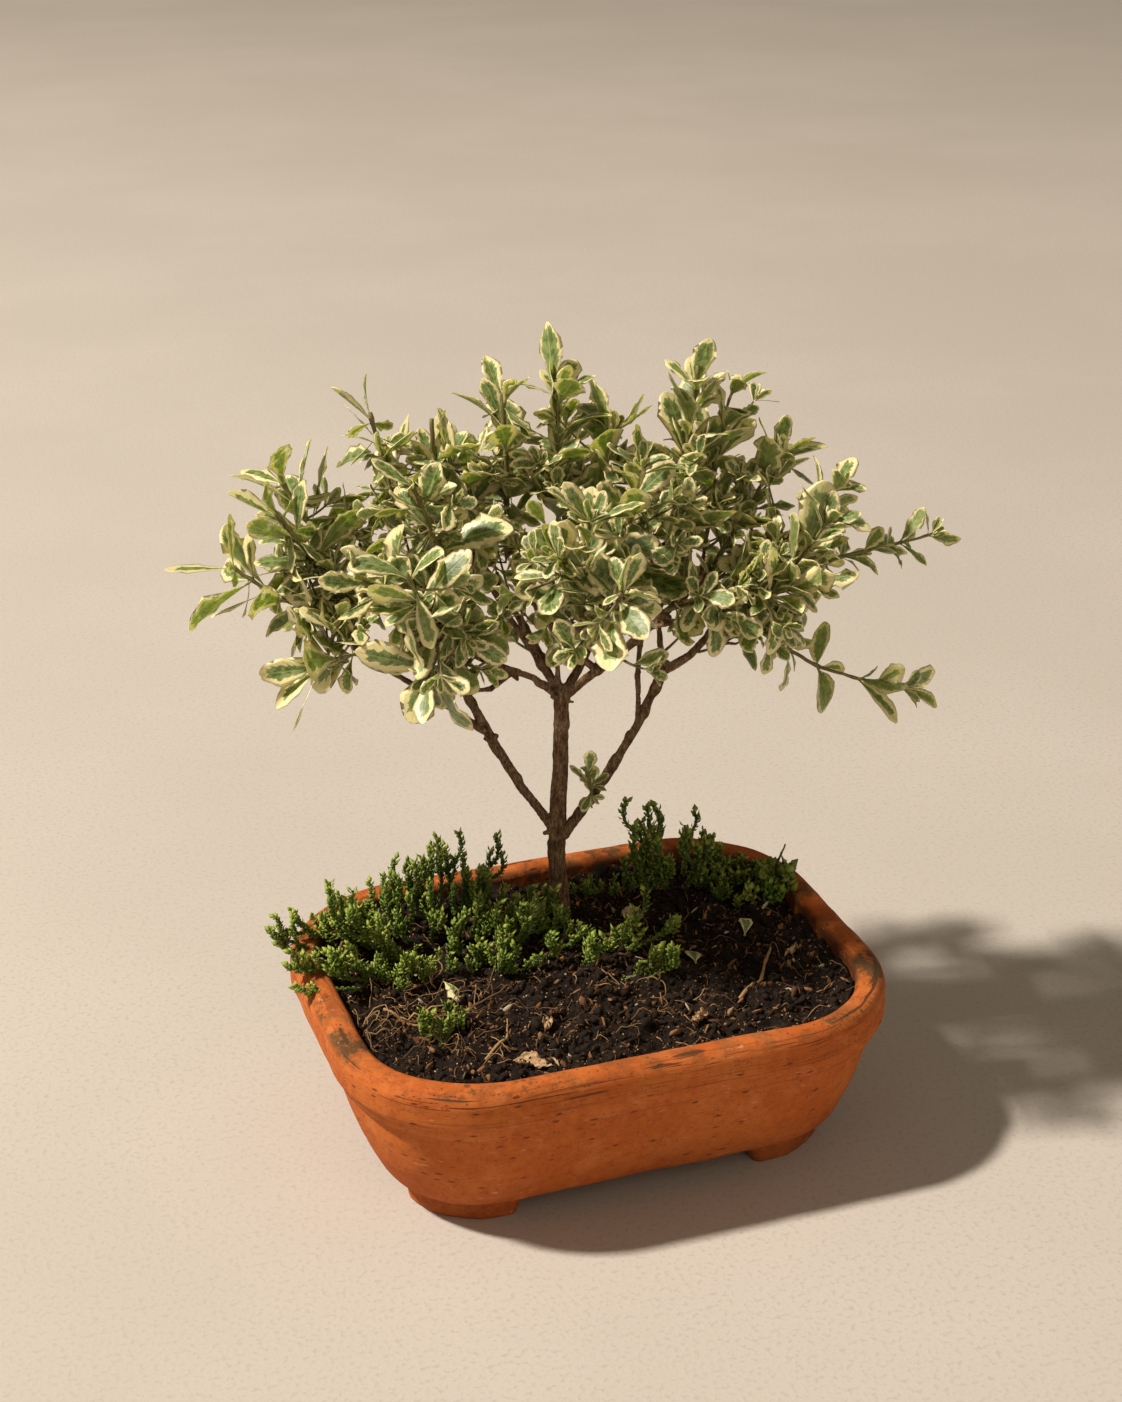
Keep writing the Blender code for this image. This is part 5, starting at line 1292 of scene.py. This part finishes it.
def dead_stem(name, line, radius, dice, shade=0.75):
    """A dry stem along a line: knotted, thinner at its far end, and never quite straight."""
    count = len(line)
    line = line + np.cumsum(dice.normal(0, 0.0001, line.shape), axis=0)
    knots = 1 + 0.35 * np.clip(dice.normal(0, 0.7, count), 0, 1.4)
    radii = radius * np.linspace(1.1, 0.55, count) * knots
    points = sweep(line[None] + POT_MIDDLE, radii, DEAD_SIDES, 0.3)
    marks = {"shade": np.full(points.shape[1], shade)}
    surface("lying_" + name, points, body_faces(1, count, DEAD_SIDES), [threads], "dead_stem", [name], marks)


dice = np.random.default_rng(77)
for name, (points, radius) in DEAD_STEMS.items():
    plan = smoothed(points, 30)
    level = np.pad(soil_level(*plan.T) + radius, 3, "edge")
    level = np.convolve(level, np.ones(7) / 7, "valid") + 0.0004
    dead_stem(name, np.column_stack([plan, level]), radius, dice)
line = smoothed(STALK, 24)
line[:, 2] += smooth_soil(*line[0, :2]) - 0.001
dead_stem("dead_stalk_right", line, 0.0007, dice, 0.05)

# A tangle of dead roots covers the soil at the front left, matted and lifted off the bed.
TANGLE = 50
turn = dice.uniform(0, 2 * np.pi, TANGLE)
spread = np.sqrt(dice.uniform(0, 1, TANGLE))[:, None] * (0.03, 0.026)
spots = circle(turn) * spread + (-0.078, -0.02)
thick = 0.00012 + 0.00052 * dice.beta(0.8, 3.2, TANGLE)
lengths = dice.uniform(0.012, 0.036, TANGLE)
lying_threads("root_tangle", spots, lengths, thick, "dead_stem", dice, 12, 0.0008, 0.0052, 0.34)

FALLEN_LENGTH = 0.0165
FALLEN = {"left": (-60, -6, 290), "middle": (46, -12, 75), "right": (76, 0, 60)}

for side, (x, y, turn) in FALLEN.items():
    name = "fallen_leaf_" + side
    turn = math.radians(turn)
    along = np.array([[math.cos(turn), math.sin(turn), 0.08]])
    rows = frames_towards(along, np.array([[0.12, -0.1, 1.0]]))
    spot = np.array([[x, y]]) / 1000 - along[:, :2] * FALLEN_LENGTH / 2
    foot = np.column_stack([spot, soil_level(*spot.T) + 0.0022]) + POT_MIDDLE
    body, places, kinds = leaf_points(foot, rows, np.array([FALLEN_LENGTH]), dice, np.array([0.2]), 0.6)
    marks = {"leaf_place": places.reshape(-1, 3), "leaf_kind": kinds.reshape(-1, 3)}
    surface("lying_" + name, body, leaf_faces(1), [leaf], "fallen_leaf", [name], marks)

dry = Finish("dry_leaf", 0.75)
crease = dry.noise(480.0, 4.0, 0.65)
dry.colour = dry.mix(crease.between(0.35, 0.65), (0.3, 0.17, 0.08), (0.62, 0.43, 0.25))
dry.tint(dry.effect(specks, Scale=700.0, Share=0.18), 0.6, (0.13, 0.06, 0.03))
dry.feed_shader(Normal=dry.bump(crease, 0.8, 0.0006), Specular_IOR_Level=0.3)


def crumpled_leaf(name, x, y, turn, length, nodes=(), rows=26, columns=22):
    """A dead leaf, curled along its midrib and folded across it in sharp creases."""
    x, y, swing = x / 1000, y / 1000, math.radians(turn)
    half = columns // 2 + 1
    along = np.linspace(0, 1, rows)[:, None]
    side = np.concatenate([np.linspace(-1, 1, half), np.linspace(1, -1, half)[1:-1]])
    under = np.arange(columns) >= half
    width = length * 0.3 * np.sin(np.pi * np.clip(along, 0.03, 0.985) ** 1.2) ** 0.7
    rough = rough_noise(stacked(along * 5, side * 3, turn * 0.1), 3, 91)
    curl = side * (1.25 + 0.5 * np.sin(along * 7))
    off = width * np.sin(curl) / 1.1
    forth = along * length + rough * 0.0022 - length / 2
    z = width * (1 - np.cos(curl)) * 0.8 + rough * 0.0034 - under * 0.00022 * (1 - side**2)
    z = z + soil_level(np.array(x), np.array(y)) + 0.0016
    across = x + off * math.sin(swing) + forth * math.cos(swing)
    away = y - off * math.cos(swing) + forth * math.sin(swing)
    body = capped(stacked(across, away, z)[None] + POT_MIDDLE)
    surface(name, body, body_faces(1, rows, columns), [dry], "dry_leaf", nodes)


crumpled_leaf("lying_dry_leaf", -44, -66, -35, 0.019, ["dry_leaf_front"])
for number, scrap in enumerate([(-30, -40, 60, 0.009), (30, -60, 200, 0.01), (88, -22, 20, 0.008)]):
    crumpled_leaf(f"leaf_scrap_{number}", *scrap)

PEBBLE_PLACE = np.array([0.034, 0.034])
PEBBLE_RADII = (0.004, 0.0032, 0.0024)
PEBBLE_RINGS = 15
PEBBLE_SIDES = 24

stone = Finish("tan_pebble", 0.7)
mottle = stone.noise(600.0, 4.0)
stone.colour = stone.mix(mottle.between(0.4, 0.6), (0.38, 0.27, 0.17), (0.6, 0.47, 0.33))
stone.feed_shader(Normal=stone.bump(mottle, 0.5, 0.0003))
rise = np.radians(np.linspace(-82, 82, PEBBLE_RINGS))
pebble = unit_ball(rise, np.arange(PEBBLE_SIDES) * 2 * np.pi / PEBBLE_SIDES)
pebble = pebble * (1 + rough_noise(pebble * 1.3 + 5, 3, 3) * 0.45)[:, None] * PEBBLE_RADII
pebble = pebble + (*PEBBLE_PLACE, soil_level(*PEBBLE_PLACE) + 0.0012) + POT_MIDDLE
surface("lying_pebble", pebble, body_faces(1, PEBBLE_RINGS, PEBBLE_SIDES), [stone], "pebble", ["pebble_tan"])
